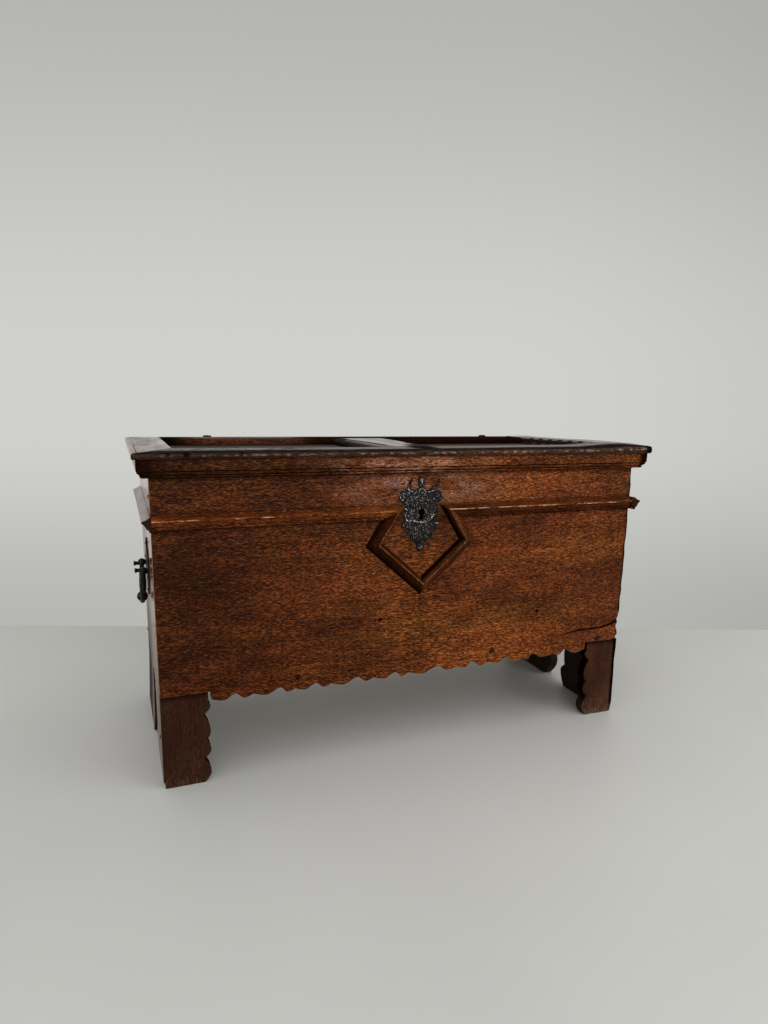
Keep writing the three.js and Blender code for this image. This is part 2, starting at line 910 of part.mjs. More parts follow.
function lidStrap(x) {
  const half = middleKnuckleWidth / 2;
  const level = [bodyHeight, bodyHeight + ironThickness];
  const strapSpan = [x - strapWidth / 2, x + strapWidth / 2];
  const strap = block(strapSpan, [lidRear - strapLength, lidRear], level);
  const neckRear = lidRear + hingeGap + ironThickness;
  const neck = block([x - half, x + half], [lidRear - strapWidth, neckRear], level);
  return joined(strap, neck, knuckle(x - half, x + half, bodyHeight));
}

function backLeaf(x) {
  const top = bodyHeight - hingeGap;
  const outer = barrelWidth / 2;
  const inner = middleKnuckleWidth / 2 + knuckleGap;
  const leaf = block(
    [x - strapWidth / 2, x + strapWidth / 2],
    [bodyRear, bodyRear + ironThickness],
    [top - leafHeight, top],
  );
  const shelfRear = lidRear + hingeGap + ironThickness;
  return joined(
    leaf,
    block([x - outer, x + outer], [bodyRear, shelfRear], [top - ironThickness, top]),
    knuckle(x - outer, x - inner, top - ironThickness),
    knuckle(x + inner, x + outer, top - ironThickness),
  );
}

function hingePin(x) {
  const half = barrelWidth / 2;
  return roundBar(pinRadius, [x - half, hingeAxisY, hingeAxisZ], [x + half, hingeAxisY, hingeAxisZ]);
}

// Lock and escutcheon

function escutcheon() {
  const upper = skirtBottom - escutcheonGap - stringTop;
  const half = [
    ...escutcheonUpperShares.map(([across, down]) => [across, stringTop + (1 - down) * upper]),
    ...escutcheonLowerShares.map(([across, down]) => [across, stringTop - down * escutcheonLower]),
  ];
  const edge = (side) => half.map(([across, z]) => [escutcheonX + side * across * escutcheonHalfWidth, z]);
  const outline = [...edge(1), ...edge(-1).slice(0, -1).reverse()];
  const shape = outlineShape(outline, [keyholeShape()]);
  return frontSlab(shape, frontFace - escutcheonThickness, frontFace);
}

const haspFront = boardBack + haspStandOff;
const haspFoot = bodyHeight - haspDrop;
const boltLevel = haspFoot + boltRise;
const boltFront = haspFront + (haspDepth - boltThickness) / 2;

// The bolt's cross-section grown by a clearance, between two X.
function boltBlock(x0, x1, clearance) {
  return block(
    [x0, x1],
    [boltFront - clearance, boltFront + boltThickness + clearance],
    [boltLevel - clearance, boltLevel + boltHeight + clearance],
  );
}

function lockCase() {
  const top = bodyHeight - lockTopGap;
  const slotHalf = haspThickness / 2 + slotClearance;
  const box = block(
    [-lockHalfWidth, lockHalfWidth],
    [boardBack, boardBack + lockThickness],
    [keyholeHeight - lockFoot, top],
  );
  const slot = block(
    [-slotHalf, slotHalf],
    [haspFront - haspSwing, haspFront + haspDepth + slotClearance],
    [haspFoot - slotClearance, top + cutOverrun],
  );
  const cavity = block(
    [-lockCavityHalfWidth, lockCavityHalfWidth],
    [boardBack - cutOverrun, boardBack + lockCavityDepth],
    [keyholeHeight - lockCavityHeight / 2, keyholeHeight + lockCavityHeight / 2],
  );
  return cut(box, slot, cavity, boltBlock(-lockHalfWidth - cutOverrun, boltSocket, boltClearance));
}

function hasp() {
  const half = haspThickness / 2;
  const plate = block(
    [-haspPlateHalfWidth, haspPlateHalfWidth],
    [haspFront - haspSwing, haspFront - haspSwing + haspPlateDepth],
    [bodyHeight - ironThickness, bodyHeight],
  );
  const tongue = block([-half, half], [haspFront, haspFront + haspDepth], [haspFoot, bodyHeight]);
  return cut(joined(plate, tongue), boltBlock(-half - cutOverrun, half + cutOverrun, slotClearance / 2));
}

// Drop handles, built on the right-hand side

const sideAtHandle = halfWidthAt(handleHeight);
const handleY = frontFace + bodyDepth / 2 - handleForward;
const bailAxisX = sideAtHandle + bailStandOff;

function handlePlate() {
  const corner = plateShares.map(([across, up]) => [across * plateHalfWidth, up * plateHalfHeight]);
  const flip = (points, a, b) => points.map(([y, z]) => [a * y, b * z]);
  const round = [
    ...corner,
    ...flip(corner, 1, -1).reverse(),
    ...flip(corner.slice(1), -1, -1),
    ...flip(corner.slice(1), -1, 1).reverse(),
  ];
  const outline = round.map(([y, z]) => [handleY + y, handleHeight + z]);
  const base = footHalfWidth + jointGap;
  return leaning(sideSlab(outlineShape(outline), base, base + plateThickness));
}

function handleEye(end) {
  const centre = handleY + (end * eyeSpacing) / 2;
  const base = sideAtHandle + plateThickness + 2 * jointGap;
  const angle = Math.asin(eyeShankHalf / eyeRadius);
  const outline = new THREE.Shape();
  outline.moveTo(base, handleHeight + eyeShankHalf);
  outline.lineTo(base, handleHeight - eyeShankHalf);
  outline.absarc(bailAxisX, handleHeight, eyeRadius, Math.PI + angle, 3 * Math.PI - angle, false);
  outline.closePath();
  const bore = journalRadius + journalClearance;
  outline.holes = [new THREE.Path().absarc(bailAxisX, handleHeight, bore, 0, 2 * Math.PI, true)];
  return frontSlab(outline, centre - eyeWidth / 2, centre + eyeWidth / 2);
}

function bail() {
  const armY = eyeSpacing / 2 - eyeWidth / 2 - bailSideGap - bailBarRadius;
  const at = (out, y, down) => new THREE.Vector3(bailAxisX + out, handleY + y, handleHeight - down);
  const half = [
    at(0, armY, 0),
    at(bailLean / 2, armY, bailDrop / 2),
    at(bailLean, armY, bailDrop - 2 * bailBarRadius),
    at(bailLean, armY - bailBarRadius, bailDrop - bailBarRadius / 3),
    at(bailLean, gripHalfLength - bailBarRadius, bailDrop),
  ];
  const otherHalf = half.map((p) => new THREE.Vector3(p.x, 2 * handleY - p.y, p.z)).reverse();
  const ring = [];
  const sides = roundSegments / 2;
  for (let i = 0; i < sides; i++) {
    const turn = (2 * Math.PI * i) / sides;
    ring.push(new THREE.Vector2(bailBarRadius * Math.cos(turn), bailBarRadius * Math.sin(turn)));
  }
  const bar = new THREE.ExtrudeGeometry(new THREE.Shape(ring), {
    steps: 2 * roundSegments,
    extrudePath: new THREE.CatmullRomCurve3([...half, ...otherHalf], false, "centripetal"),
  });
  const swell = gripShares.map(([along, out]) => [
    bailBarRadius + (knopRadius - bailBarRadius) * out,
    along * gripHalfLength,
  ]);
  const otherSwell = swell.slice(0, -1).map(([r, y]) => [r, -y]).reverse();
  const profile = [[0, gripHalfLength], ...swell, ...otherSwell, [0, -gripHalfLength]].reverse();
  const lathe = profile.map(([r, y]) => new THREE.Vector2(r, y));
  const grip = facingOut(new THREE.LatheGeometry(lathe, roundSegments));
  const pieces = [bar, grip.translate(...at(bailLean, 0, bailDrop).toArray())];
  for (const end of [-1, 1]) {
    const eyeOuter = eyeSpacing / 2 + eyeWidth / 2 + bailSideGap;
    const knob = new THREE.SphereGeometry(bailBarRadius + bailSideGap, roundSegments, sides);
    pieces.push(
      knob.translate(...at(0, end * armY, 0).toArray()),
      roundBar(journalRadius, at(0, end * armY, 0), at(0, end * eyeOuter, 0)),
      roundBar(journalHead, at(0, end * eyeOuter, 0), at(0, end * (eyeOuter + journalHeadLength), 0)),
      roundBar(hornRadius, at(0, end * armY, 0), at(hornLength, end * armY, 0)),
    );
  }
  return joined(...pieces);
}

addPiece("front_board", frontBoard(), bodyOak);
addPiece("back_board", backBoard(), plainOak);
addPair("side_board", sideBoard(), bodyOak);
addPair("front_foot", frontFoot(), darkOak);
addBottom();
addFrontMouldings();
addPair("side_string_course", sideString(), bodyOak);

addPiece("front_lid_rail", frontRail(), bodyOak);
addPair("lid_end_rail", endRail(), bodyOak);
addPiece("rear_lid_rail", rearRail(), bodyOak);
addPiece("lid_muntin", muntin(), bodyOak);
addPiece("left_lid_panel", lidPanel(panelSpans[0]), bodyOak);
addPiece("right_lid_panel", lidPanel(panelSpans[1]), bodyOak);
addSkirt();

for (const [name, x] of hingePlaces) {
  addPiece(`${name}_hinge_lid_strap`, lidStrap(x), iron);
  addPiece(`${name}_hinge_back_leaf`, backLeaf(x), iron);
  addPiece(`${name}_hinge_pin`, hingePin(x), iron);
}

addPiece("escutcheon", escutcheon(), iron);
addPiece("lock_case", lockCase(), iron);
addPiece("lock_bolt", boltBlock(-boltTipInset - boltLength, -boltTipInset, 0), iron);
addPiece("lock_hasp", hasp(), iron);

addPair("handle_plate", handlePlate(), iron);
addPair("handle_front_eye", handleEye(-1), iron);
addPair("handle_rear_eye", handleEye(1), iron);
addPair("bail", bail(), iron);

export default chest;
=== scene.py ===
"""Oak coffer with iron mounts, dressed for a studio picture. Lengths are in metres, +Y points to the back."""

import bmesh
import bpy
import numpy as np
from bpy.props import FloatProperty, FloatVectorProperty, PointerProperty
from mathutils import Matrix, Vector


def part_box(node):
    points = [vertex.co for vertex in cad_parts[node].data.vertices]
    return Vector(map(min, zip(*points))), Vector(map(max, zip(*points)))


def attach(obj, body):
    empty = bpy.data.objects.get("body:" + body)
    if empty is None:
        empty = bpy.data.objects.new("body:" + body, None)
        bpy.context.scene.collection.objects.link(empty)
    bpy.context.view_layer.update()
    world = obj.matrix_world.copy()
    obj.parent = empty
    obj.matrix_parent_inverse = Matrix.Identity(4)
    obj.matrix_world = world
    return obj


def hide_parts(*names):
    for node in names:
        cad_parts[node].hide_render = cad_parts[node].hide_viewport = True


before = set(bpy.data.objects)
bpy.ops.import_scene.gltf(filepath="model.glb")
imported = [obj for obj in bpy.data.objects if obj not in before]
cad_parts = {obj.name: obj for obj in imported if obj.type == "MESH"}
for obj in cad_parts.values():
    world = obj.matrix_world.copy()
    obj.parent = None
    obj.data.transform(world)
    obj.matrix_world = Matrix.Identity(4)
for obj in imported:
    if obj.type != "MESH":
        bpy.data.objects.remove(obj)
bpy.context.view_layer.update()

bl_info = {
    "name": "Oak coffer",
    "version": (1, 0, 0),
    "blender": (4, 5, 0),
    "location": "View3D > Sidebar > Coffer",
    "description": "Builds the worn oak boards, mouldings and iron mounts of a coffer and its studio",
    "category": "Object",
}


def corners_of(node):
    """Low and high corner of a CAD node's box."""
    return [np.array(corner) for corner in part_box(node)]


front_low, front_high = corners_of("front_board")
foot_high = corners_of("right_front_foot")[1]
rail_low, rail_high = corners_of("front_lid_rail")
rear_low, rear_high = corners_of("rear_lid_rail")
bail_low, bail_high = corners_of("right_bail")
eye_low, eye_high = corners_of("right_handle_rear_eye")
SKIRT_TOP = corners_of("front_lid_moulding")[1][2]
STRING_TOP = corners_of("right_front_string_course")[1][2]
MUNTIN_HALF = corners_of("lid_muntin")[1][0]

FRONT = front_low[1]
RIM_HALF, RIM = front_high[0], front_high[2]
FOOT_HALF = foot_high[0] - (front_high[0] - foot_high[0]) * foot_high[2] / (RIM - foot_high[2])
LEAN = (RIM_HALF - FOOT_HALF) / RIM
PANEL_END = RIM_HALF - 0.0545
FRONT_THICK, FOOT_THICK, FOOT_WIDTH = 0.026, 0.025, 0.1
FOOT_TOP, APRON_HALF = 0.208, 0.493
# Gap that keeps a dressed piece clear of its neighbour.
CLEAR = 0.0003
SIDES = ((-1, "left"), (1, "right"))

# Along the apron from its middle, as shares of its half width: apexes flow, notches are sharp.
APRON_SHARES = (
    (-1, 0), (-0.895, 1), (-0.816, 0), (-0.688, 1), (-0.623, 0), (-0.52, 1), (-0.447, 0), (-0.315, 1),
    (-0.2335, 0), (-0.12, 1), (-0.051, 0), (0.11, 1), (0.215, 0), (0.305, 1), (0.404, 0), (0.5015, 1),
    (0.605, 0), (0.666, 1), (0.798, 0), (0.871, 1), (1, 0),
)
APEX_DROP, NOTCH_DROP, LOBE_DROP = 0.012, 0.018, 0.0245

# A front foot's inner edge: height as a share of the foot's, inset as a share of its width, and the belly of
# the lobe.
FOOT_EDGE_SHARES = (
    (0.902, 0.09, 0.37), (0.75, 0.145, 0.66), (0.474, 0.072, 0.52), (0.264, 0.135, 0.55), (0, 0.132, 0.5),
)

# The split at the front's lower right: across and up. Then the chips in its right end: height, depth and half
# width.
SPLIT_PATH = (
    (0.37, 0.229), (0.41, 0.237), (0.458, 0.2445), (0.513, 0.2445), (0.542, 0.246), (0.565, 0.251),
    (0.583, 0.2575), (0.601, 0.266),
)
SPLIT_DEEP, LIP_HIGH = 0.0026, 0.0011
END_CHIPS = ((0.243, 0.006, 0.006), (0.214, 0.008, 0.005))
KEYHOLE, KEYHOLE_HALF, KEYHOLE_DEEP = (-0.0025, 0.5755), (0.0085, 0.0138), 0.021

# Knots on the front: across, up and size. Nails: across or back, up and size.
KNOTS = (
    (0.203, 0.218, 0.006), (0.526, 0.217, 0.006), (-0.296, 0.216, 0.005), (0.33, 0.31, 0.004),
    (-0.1, 0.33, 0.004),
)
FRONT_NAILS = (
    (0.526, 0.217, 0.0075), (0.464, 0.213, 0.0036), (0.203, 0.218, 0.0058), (-0.296, 0.216, 0.003),
    (0.548, 0.094, 0.0022),
)
SIDE_NAILS = (
    (0.235, 0.2), (-0.078, 0.172), (-0.216, 0.47), (-0.216, 0.63), (-0.216, 0.1), (0.23, 0.3), (0.23, 0.55),
)
PLATE_NAILS = (
    (-0.01, 0.492), (-0.01, 0.378), (-0.052, 0.451), (-0.052, 0.418), (0.032, 0.451), (0.032, 0.418),
)
SIDE_NAIL, PLATE_NAIL = 0.0045, 0.0036

# Moulding of the string course and the kite: across from the upper or inner edge, and out from the board.
MOULDING_SHARES = (
    (0, 0), (0, 0.1), (0.02, 0.19), (0.055, 0.21), (0.07, 0.13), (0.085, 0.13), (0.1, 0.32), (0.125, 0.42),
    (0.145, 0.4), (0.155, 0.35), (0.165, 0.42), (0.2, 0.64), (0.24, 0.82), (0.275, 0.94), (0.31, 1),
    (0.345, 0.985), (0.38, 0.96), (0.41, 0.92), (0.44, 0.83), (0.48, 0.75), (0.53, 0.69), (0.6, 0.62),
    (0.66, 0.55), (0.69, 0.52), (0.7, 0.44), (0.72, 0.43), (0.735, 0.5), (0.765, 0.49), (0.79, 0.44),
    (0.81, 0.3), (0.84, 0.25), (0.9, 0.235), (0.94, 0.22), (0.97, 0.16), (1, 0.09), (1, 0),
)
MOULDING_WIDTH, MOULDING_OUT, BEAD_POINTS = 0.032, 0.0185, 10
KITE_CORNERS = ((-0.045, 0), (-0.0976, -0.0851), (0, -0.1716), (0.0976, -0.0851), (0.045, 0))
# The runs from left to right: node, finish, rubbing of the arris with its painted highlight, and soot on the
# bead, the slope and beyond, which is painted shade, darkest on the faces turned from the light.
STRING_RUNS = (
    ("left_front_string_course", "oak string", 0.85, (0, 0, 0.15)),
    ("upper_left_kite_moulding", "oak kite", 0.62, (0.25, 0.35, 0.75)),
    ("lower_left_kite_moulding", "oak kite", 0.62, (0.4, 0.5, 0.8)),
    ("lower_right_kite_moulding", "oak kite", 0.62, (1, 0.5, 0.3)),
    ("upper_right_kite_moulding", "oak kite", 0.62, (1, 0.7, 0.05)),
    ("right_front_string_course", "oak string", 1.0, (0, 0, 0.35)),
)
SWEEP_PITCH = 0.002

# Moulding under the lid: out from the body, down from the nosing, and grime, which is painted shade at its
# top under the nosing, in its quirks and along its underside.
SKIRT_SHARES = (
    (0.001, 0, 0.5), (0.024, 0, 0.5), (0.024, 0.004, 0), (0.0236, 0.0225, 0), (0.0228, 0.024, 0),
    (0.0212, 0.0243, 1), (0.0212, 0.0262, 1), (0.0222, 0.0266, 0), (0.022, 0.0282, 0), (0.0206, 0.0288, 0),
    (0.0192, 0.0299, 0), (0.018, 0.0313, 0), (0.0171, 0.0322, 0), (0.0152, 0.0324, 1), (0.0152, 0.0342, 1),
    (0.0163, 0.0348, 0), (0.0162, 0.0364, 0), (0.0146, 0.0375, 0), (0.0134, 0.038, 1), (0.013, 0.0387, 1),
    (0.001, 0.0387, 1),
)

# Half of the lid's section: in from the nosing's edge, and down from the lid's top.
NOSING_SHARES = (
    (0.0305, 0.0132), (0.0062, 0.0132), (0.0026, 0.0128), (0.0008, 0.0116), (0, 0.0098), (0, 0.0058),
    (0.0003, 0.0034), (0.0014, 0.0015), (0.0034, 0.0006), (0.0075, 0.0003), (0.0108, 0.0002),
    (0.0113, 0.0012), (0.0119, 0.0012), (0.0124, 0.0001), (0.018, 0), (0.025, 0), (0.033, 0), (0.0355, 0),
)
# How many of them lie under the nosing. Then the groove in a rail's inner edge, and the lid's thickness.
NOSING_UNDER = 5
GROOVE, GROOVE_DEEP, LID_THICK = (0.0168, 0.0222), 0.008, 0.025
MOULDED_EDGE_SHARES = ((0, 0), (0.06, 0.3), (0.12, 0.45), (0.42, 0.78), (0.8, 0.86), (0.83, 1))
MOULDED_EDGE_WIDTH, MOULDED_EDGE_DROP, NICK_PITCH = 0.014, 0.009, 0.0485

# Lock plate, in millimetres from its middle line and up from the floor. Only its lower part is the same on
# both sides.
PLATE_RIGHT = (
    (0, 663.5), (5, 662), (8.5, 658), (9.2, 650), (7.2, 642.5), (8.5, 636.5), (14, 631.5), (21, 633.5),
    (28, 639), (35, 646), (42, 651), (49, 656.5), (50.5, 653.5), (45, 646.5), (39.5, 638), (40.5, 632.5),
    (47, 630), (53.5, 624), (56, 613),
)
PLATE_LOWER = (
    (53, 607), (44, 601.5), (40.5, 597), (42.2, 588), (43.8, 575.5), (41, 566), (40.2, 561), (44.5, 556.5),
    (46.5, 551.5), (42.5, 545), (37, 536.5), (30.5, 525), (20, 514), (11.5, 507.5), (8.8, 504), (10.5, 498),
    (8, 491.5),
)
PLATE_LEFT = (
    (-5, 662), (-8.5, 658), (-9.2, 650), (-7.2, 642.5), (-9, 636.5), (-14, 632), (-21, 633), (-26, 638),
    (-25, 646), (-22.5, 654), (-21, 661), (-24, 660.5), (-29, 652), (-33.5, 643), (-39, 635), (-46, 632),
    (-53, 626.5), (-56, 614),
)
PLATE_FOOT = (0, 488)
# Raised lines of the lock plate: points, half width and height, in millimetres. The paired ones are on both
# sides.
PLATE_RIDGES = (
    (((-38, 635), (-30, 632), (-20, 628), (-12, 627), (-8, 629), (-4, 635.5), (0, 637), (4, 634), (9, 629),
      (15, 627), (22, 628), (30, 631), (39, 633)), 2.4, 2.4),
    (((-25, 617.5), (-15, 622), (-3, 621.5), (4, 619.5), (12, 620.5), (26, 618)), 1.8, 1.5),
    (((-38, 564), (-30, 560), (-21, 561.5), (-11, 559), (-1, 557.5), (9, 557), (17, 560), (26, 566),
      (31, 573)), 2.9, 3.0),
    (((-24, 658), (-29, 646), (-34, 637)), 1.9, 1.8),
    (((47, 654), (38, 646), (30, 637)), 1.9, 1.8),
    (((0, 661), (0, 642)), 2.2, 2.4),
    (((0, 553), (0, 530), (0, 511)), 1.7, 1.8),
)
PLATE_PAIRED_RIDGES = (
    (((37, 612), (35, 592), (39, 573)), 2.0, 1.6),
    (((27, 611), (25, 592), (29, 576)), 1.5, 1.0),
    (((4, 657), (5, 648), (3, 641)), 1.3, 1.2),
    (((50, 624), (53, 617), (50, 611), (44, 610), (42, 615), (45, 618)), 1.8, 2.2),
    (((0, 541), (12, 548), (27, 553)), 1.4, 1.4),
    (((0, 530), (13, 538), (31, 545)), 1.4, 1.4),
    (((0, 519), (10, 527), (23, 531)), 1.3, 1.3),
)
# Raised bosses of the lock plate: place, radius and height, in millimetres.
PLATE_BOSSES = (
    (-1, 655, 5.5, 2.2), (0, 498.5, 7.5, 4.2), (-44, 551.5, 4.5, 2.2), (43.5, 552, 5, 2.6), (0, 606, 5, 1.6),
    (-16, 606, 4, 1.2), (16, 606, 4, 1.2), (-14, 590, 3, 0.9), (15, 592, 3, 0.9), (-46.5, 619, 3, 1.6),
    (46.5, 619, 3, 1.6),
)
PLATE_HOLE, PLATE_HOLE_RADIUS, PLATE_SLOT = (1.5, 580), 7, ((-3.5, 562.5), (6.5, 562.5))
PLATE_PITCH, LOCK_MIDDLE = 0.95, -0.004

# Drop handle: half the distance of the bail's ends, of the eyes and of the pin's heads, the knop's drop, and
# how far the axis stands out. The bail's way is given as out from its axis, along it and down.
BAIL_HALF, EYE_PLACE, HEAD_PLACE, KNOP_DOWN, AXIS_OUT = 0.0375, 0.0475, 0.052, 0.0725, 0.0125
BAIL_WAY = (
    (0, 0.0375, 0), (0.0006, 0.0375, 0.02), (0.0012, 0.0375, 0.04), (0.0025, 0.0365, 0.06),
    (0.0025, 0.033, 0.0715), (0.0025, 0.025, 0.0765), (0.0025, 0.012, 0.077), (0.0025, 0, 0.077),
)

# Turned iron parts: radius and height.
KNOP = (
    (0.002, -0.0128), (0.0066, -0.011), (0.0104, -0.0075), (0.0124, -0.003), (0.0128, 0.001),
    (0.0118, 0.0052), (0.0092, 0.009), (0.0062, 0.0114), (0.0054, 0.0124), (0.0054, 0.014),
    (0.0044, 0.0156), (0.0022, 0.0166), (0.0008, 0.0169),
)
HORN = (
    (0.003, 0), (0.0052, 0.004), (0.0048, 0.008), (0.0041, 0.0115), (0.0045, 0.0135), (0.0054, 0.0155),
    (0.0057, 0.0172), (0.0053, 0.0186), (0.004, 0.0192),
)
BALL = (
    (0.0015, -0.0068), (0.0045, -0.0055), (0.0065, -0.0025), (0.007, 0), (0.0065, 0.0025), (0.0045, 0.0055),
    (0.0015, 0.0068),
)
PIN_HEAD = (
    (0.004, -0.012), (0.004, 0), (0.0062, 0.0001), (0.006, 0.0018), (0.0045, 0.0032), (0.0015, 0.0038),
)
EYE = (
    (0.0052, -0.0046), (0.0078, -0.0036), (0.009, -0.0015), (0.009, 0.0015), (0.0078, 0.0036),
    (0.0052, 0.0046),
)
MIDDLE_KNUCKLE = ((0.0068, -0.004), (0.0078, -0.0032), (0.008, 0), (0.0078, 0.0032), (0.0068, 0.004))
OUTER_KNUCKLE = (
    (0.0072, 0.0046), (0.0079, 0.0056), (0.0078, 0.008), (0.0068, 0.0102), (0.0048, 0.0117), (0.0036, 0.012),
)
NAIL_HEAD = ((0.75, -0.4), (1, 0.06), (0.8, 0.35), (0.3, 0.52))
KNUCKLE_RADIUS, NECK_HALF, LEAF_THICK, IRON_EASE = 0.008, 0.004, 0.003, 0.0006

# Lamps: place, aim, width and height. The floor and the wall reach far beyond the picture.
LAMPS = {
    "ceiling": ((-0.3, -0.5, 2.9), (-0.1, -0.2, 0), 4.0, 3.0),
    "key": ((1.9, -2.3, 2.0), (0.1, -0.2, 0.35), 1.4, 1.4),
    "fill": ((-0.9, -3.6, 1.6), (-0.2, 0, 0.1), 3.4, 1.2),
    "sheen": ((1.45, -3.7, 0.3), (0, -0.26, 0.6), 1.2, 0.4),
}
FAR, WALL_HIGH = 9.0, 5
# The wall's foot crosses this point on the floor, and runs this far forward for each metre to the right.
WALL_POINT, WALL_TURN = (-0.045, 0.693), 0.348


# Settings

def tint(name, description, default):
    """A colour that a user may change."""
    return FloatVectorProperty(name=name, description=description, subtype="COLOR", default=default)


def amount(name, description, default, **limits):
    """A number that a user may change."""
    return FloatProperty(name=name, description=description, default=default, **limits)


class CofferOak(bpy.types.PropertyGroup):
    """Colours and wear of the oak"""

    dark: tint("Dark grain", "Pores and old wax", (0.012, 0.003, 0.0008))
    middle: tint("Oak", "Main colour", (0.038, 0.0082, 0.0017))
    light: tint("Light figure", "Figure and rays", (0.345, 0.094, 0.0205))
    shadow: tint("Dark oak", "Feet and smoked parts", (0.027, 0.0092, 0.0042))
    plain: tint("Plain oak", "Inside boards", (0.2, 0.105, 0.05))
    # Also the colour of the painted highlights on the mouldings' crests and upper slopes.
    rubbed: tint("Rubbed arris", "Worn, paler edges", (0.6, 0.34, 0.2))
    gloss: amount("Roughness", "Roughness of the waxed faces", 0.4, min=0.05, max=1)
    wear: amount("Wear", "Depth of the wear along arrises", 0.0009, min=0, max=0.004, unit="LENGTH")
    ease: amount("Eased edge", "Rounding of the arrises", 0.0012, min=0.0002, max=0.004, unit="LENGTH")


class CofferIron(bpy.types.PropertyGroup):
    """Colours of the iron mounts"""

    black: tint("Blackened iron", "Main colour", (0.006, 0.0055, 0.0055))
    # Also the colour of the painted glints on the iron.
    bare: tint("Rubbed iron", "High places", (0.68, 0.65, 0.62))
    gloss: amount("Roughness", "Roughness of the iron", 0.36, min=0.05, max=1)


class CofferStage(bpy.types.PropertyGroup):
    """Camera, floor, wall and light"""

    place: FloatVectorProperty(
        name="Camera",
        description="Place of the camera",
        subtype="TRANSLATION",
        default=(-0.662892, -1.706866, 0.835736),
    )
    turn: FloatVectorProperty(
        name="Camera turn",
        description="Pitch, roll and yaw",
        subtype="EULER",
        default=(-0.160729, -0.018737, -0.374568),
    )
    lens: amount("Lens", "Focal length for a 36 mm long side", 24.332, min=5, subtype="DISTANCE_CAMERA")
    floor: tint("Floor", "Colour of the floor", (0.515, 0.508, 0.476))
    wall: tint("Wall", "Colour of the wall", (0.85, 0.85, 0.82))
    sky: amount("Room light", "Strength of the light from above", 1.0, min=0)
    ceiling: amount("Ceiling lamp", "Power of the lamp overhead", 11, min=0, unit="POWER")
    key: amount("Key lamp", "Power of the lamp at the front right", 15, min=0, unit="POWER")
    fill: amount("Fill lamp", "Power of the broad lamp in front", 19, min=0, unit="POWER")
    sheen: amount("Sheen lamp", "Power of the low lamp in front", 5, min=0, unit="POWER")


# Meshes

def point_mark(mesh, label, values):
    """Keep one number for each point under a label that the finishes read."""
    layer = mesh.attributes.new(label, "FLOAT", "POINT")
    layer.data.foreach_set("value", np.asarray(values).astype(np.float32))


def placed(mesh, finish, sharp, body, stands_for):
    """Give a mesh its finish and its object, which rides a body in place of its CAD nodes."""
    mesh.shade_smooth()
    mesh.set_sharp_from_angle(angle=np.radians(sharp))
    mesh.materials.clear()
    mesh.materials.append(finish)
    made = bpy.data.objects.new(mesh.name, mesh)
    bpy.context.scene.collection.objects.link(made)
    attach(made, body)
    if stands_for:
        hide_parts(*stands_for)
    return made


def shell(rings, rubbed=0.0, grime=0.0):
    """Skin a stack of closed rings: face (i, k) joins points k and k + 1 of ring i to those of ring i + 1,
    and one flat face closes each end."""
    count, around = rings.shape[:2]
    index = np.arange(count * around).reshape(count, around)
    ahead = np.roll(index, -1, axis=1)
    quads = np.stack([index[:-1], ahead[:-1], ahead[1:], index[1:]], axis=-1).reshape(-1, 4)
    caps = [index[0, ::-1], index[-1]]
    points = rings.reshape(-1, 3)
    # Six times the volume is the sum of p0 . (p1 x p2) over the triangles. Where it's negative, the faces are
    # turned.
    first, second, third, fourth = points[quads].transpose(1, 0, 2)
    volume = np.einsum("ij,ij->", first, np.cross(second, third) + np.cross(third, fourth))
    for cap in caps:
        fan = points[cap]
        volume += np.einsum("j,ij->", fan[0], np.cross(fan[1:-1], fan[2:]))
    if volume < 0:
        quads, caps = quads[:, ::-1], [cap[::-1] for cap in caps]
    marks = [np.broadcast_to(np.asarray(value, float), (count, around)).ravel() for value in (rubbed, grime)]
    return points, quads, caps, marks


def piece(name, shells, finish, body, stands_for=(), sharp=32.0):
    """Make one object from closed shells, with its rubbed places and painted highlights, and its grime and
    painted shade, kept as point attributes.
    """
    points = np.concatenate([part[0] for part in shells])
    starts = np.cumsum([0] + [len(part[0]) for part in shells[:-1]])
    quads = np.concatenate([part[1] + start for part, start in zip(shells, starts)])
    caps = [cap + start for part, start in zip(shells, starts) for cap in part[2]]
    sizes = np.array([4] * len(quads) + [len(cap) for cap in caps])
    corners = np.concatenate([quads.ravel(), *caps])
    mesh = bpy.data.meshes.new(name)
    mesh.vertices.add(len(points))
    mesh.vertices.foreach_set("co", points.astype(np.float32).ravel())
    mesh.loops.add(len(corners))
    mesh.loops.foreach_set("vertex_index", corners.astype(np.int32))
    mesh.polygons.add(len(sizes))
    mesh.polygons.foreach_set("loop_start", (np.cumsum(sizes) - sizes).astype(np.int32))
    mesh.update(calc_edges=True)
    mesh.validate()
    for order, label in enumerate(("rubbed", "grime")):
        point_mark(mesh, label, np.concatenate([part[3][order] for part in shells]))
    return placed(mesh, finish, sharp, body, stands_for)


def wooden(name, skin, key, body="chest_body"):
    """A worn board or moulding in place of the CAD node of its name."""
    return piece(f"worn_{name}", [skin], finish(key), body, [name])


def forged(name, shells, body="chest_body"):
    """A forged iron piece in place of the CAD node of its name."""
    return piece(f"forged_{name}", shells, finish("wrought iron"), body, [name], 50)


def eased(node, key, width, body="chest_body", grime=None):
    """Copy a CAD node, weld it, merge its flat faces and round its arrises with a bevel."""
    form = bmesh.new()
    form.from_mesh(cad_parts[node].data)
    bmesh.ops.remove_doubles(form, verts=form.verts, dist=1e-6)
    bmesh.ops.dissolve_limit(form, angle_limit=0.002, verts=form.verts, edges=form.edges)
    mesh = bpy.data.meshes.new(f"eased_{node}")
    form.to_mesh(mesh)
    form.free()
    if grime:
        points = np.empty(3 * len(mesh.vertices))
        mesh.vertices.foreach_get("co", points)
        point_mark(mesh, "grime", grime(*points.reshape(-1, 3).T))
    made = placed(mesh, finish(key), 32, body, [node])
    bevel = made.modifiers.new("eased arrises", "BEVEL")
    bevel.width = width
    bevel.segments = 2
    bevel.limit_method = "ANGLE"
    bevel.angle_limit = np.radians(34)
    bevel.harden_normals = True
    return made


